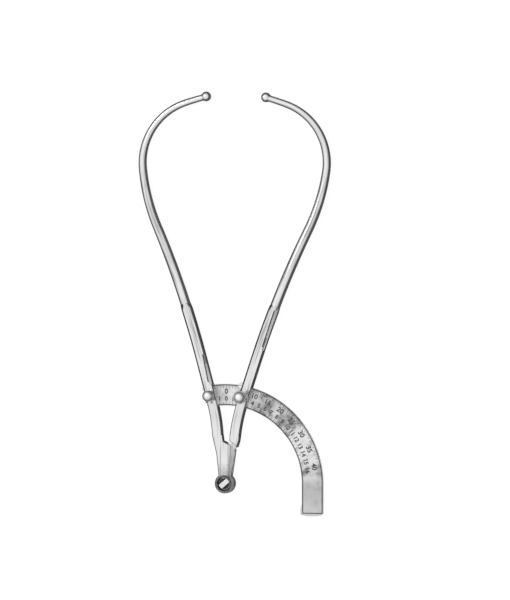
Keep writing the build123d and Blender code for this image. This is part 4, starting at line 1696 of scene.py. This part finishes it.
@dataclass
class Studio:
    """Camera, floor, sky and lamp, in metres. The frame is 510 by 600 pixels."""

    tilt: float = 12.0
    roll: float = 1.59
    distance: float = 3.0
    half_height: float = 0.2451
    target: tuple[float, float, float] = (0.02054, 0.15063, 0.0042)
    sensor: float = 36.0
    clip: tuple[float, float] = (0.05, 30.0)
    floor_size: float = 6.0
    floor_grey: float = 0.12
    floor_glow: float = 0.92
    floor_roughness: float = 0.9
    light_lean: float = 8.0
    bright: float = 0.98
    dark: float = 0.03
    backdrop: float = 0.97
    # Angles from the middle of the light, in degrees, and the brightness there.
    light_edge: tuple[tuple[float, float], ...] = ((80.0, 0.04), (68.0, 0.60), (48.0, 0.90))
    lamp_place: tuple[float, float, float] = (-0.9, 0.9, 1.6)
    lamp_size: float = 0.45
    lamp_power: float = 9.0

    def camera(self) -> None:
        """Place the camera above the instrument, a little to the scale's side."""
        data = bpy.data.cameras.new("camera")
        data.sensor_width = self.sensor
        data.lens = self.sensor / 2 / (self.half_height / self.distance)
        data.clip_start, data.clip_end = self.clip
        made = add_object("camera", data)
        back = Vector((sin(radians(self.tilt)), 0.0, cos(radians(self.tilt))))
        level = Vector((0.0, 1.0, 0.0)).cross(back).normalized()
        upright = back.cross(level)
        turn = radians(self.roll)
        right = level * cos(turn) + upright * sin(turn)
        top = upright * cos(turn) - level * sin(turn)
        pose = Matrix((right, top, back)).transposed().to_4x4()
        made.matrix_world = Matrix.Translation(Vector(self.target) + back * self.distance) @ pose
        bpy.context.scene.camera = made

    def floor(self) -> None:
        """Lay a large plain floor: white to the camera, and dim in the metal's reflections."""
        bm = bmesh.new()
        bmesh.ops.create_grid(bm, x_segments=1, y_segments=1, size=self.floor_size / 2)
        mesh = as_mesh(bm, "floor")
        made, wiring, shader = new_material("floor_white")
        wiring.feed(shader, {
            "Base Color": rgba(self.floor_grey),
            "Roughness": self.floor_roughness,
            "Specular IOR Level": 0.0,
            "Emission Color": rgba(self.floor_glow),
            "Emission Strength": wiring.node("LightPath").outputs["Is Camera Ray"],
        })
        mesh.materials.append(made)
        add_object("floor", mesh)

    def sky(self) -> None:
        """Hang a broad soft light over the table, bright overhead and dark beyond its edge."""
        world = bpy.data.worlds.new("studio")
        world.use_nodes = True
        wiring = Wiring(world.node_tree)
        lean = radians(self.light_lean)
        place = wiring.node("TexCoord").outputs["Generated"]
        middle = (-sin(lean), 0.0, cos(lean))
        toward = wiring.node("VectorMath", {0: place, 1: middle}, operation="DOT_PRODUCT")
        fall = wiring.node("ValToRGB", {0: toward.outputs["Value"]})
        ramp = fall.color_ramp
        ramp.interpolation = "B_SPLINE"
        first, last = ramp.elements
        first.position, first.color = 0.0, rgba(self.dark)
        last.position, last.color = 1.0, rgba(self.bright)
        for angle, level in self.light_edge:
            ramp.elements.new(cos(radians(angle))).color = rgba(level)
        seen = wiring.node("LightPath").outputs["Is Camera Ray"]
        colour = wiring.mixed(seen, fall.outputs[0], rgba(self.backdrop))
        wiring.feed(world.node_tree.nodes["Background"], {"Color": colour})
        bpy.context.scene.world = world

    def lamp(self) -> None:
        """Add a soft square lamp aimed at the middle of the instrument."""
        data = bpy.data.lights.new("key", "AREA")
        data.shape, data.size, data.energy = "SQUARE", self.lamp_size, self.lamp_power
        made = add_object("key", data)
        made.location = self.lamp_place
        aim = Vector(self.target) - Vector(self.lamp_place)
        made.rotation_euler = aim.to_track_quat("-Z", "Y").to_euler()

    def build(self) -> None:
        """Make the whole studio."""
        self.camera()
        self.floor()
        self.sky()
        self.lamp()
        bpy.context.scene.view_settings.view_transform = "Standard"


def main() -> None:
    """Build the studio and the instrument."""
    logging.basicConfig(level=logging.INFO, format="%(name)s: %(message)s")
    shop = Workshop()
    Studio().build()
    for part in (
        Arm(
            Side.LEFT, Body.FIXED, "left_arm", "left_tip_ball",
            flat_foot=(-14.73, 80.23), flat_top=(-20.92, 106.38),
        ),
        Arm(
            Side.RIGHT, Body.MOVING, "right_arm", "right_tip_ball",
            flat_foot=(28.31, 110.12), flat_top=(38.82, 144.04),
        ),
        Hinge(),
        Scale(),
        FixingScrew(),
        Clamp(),
        Pointer(),
    ):
        part.build(shop)
    log.info("pieces made: %d", shop.count)


if __name__ == "__main__":
    main()
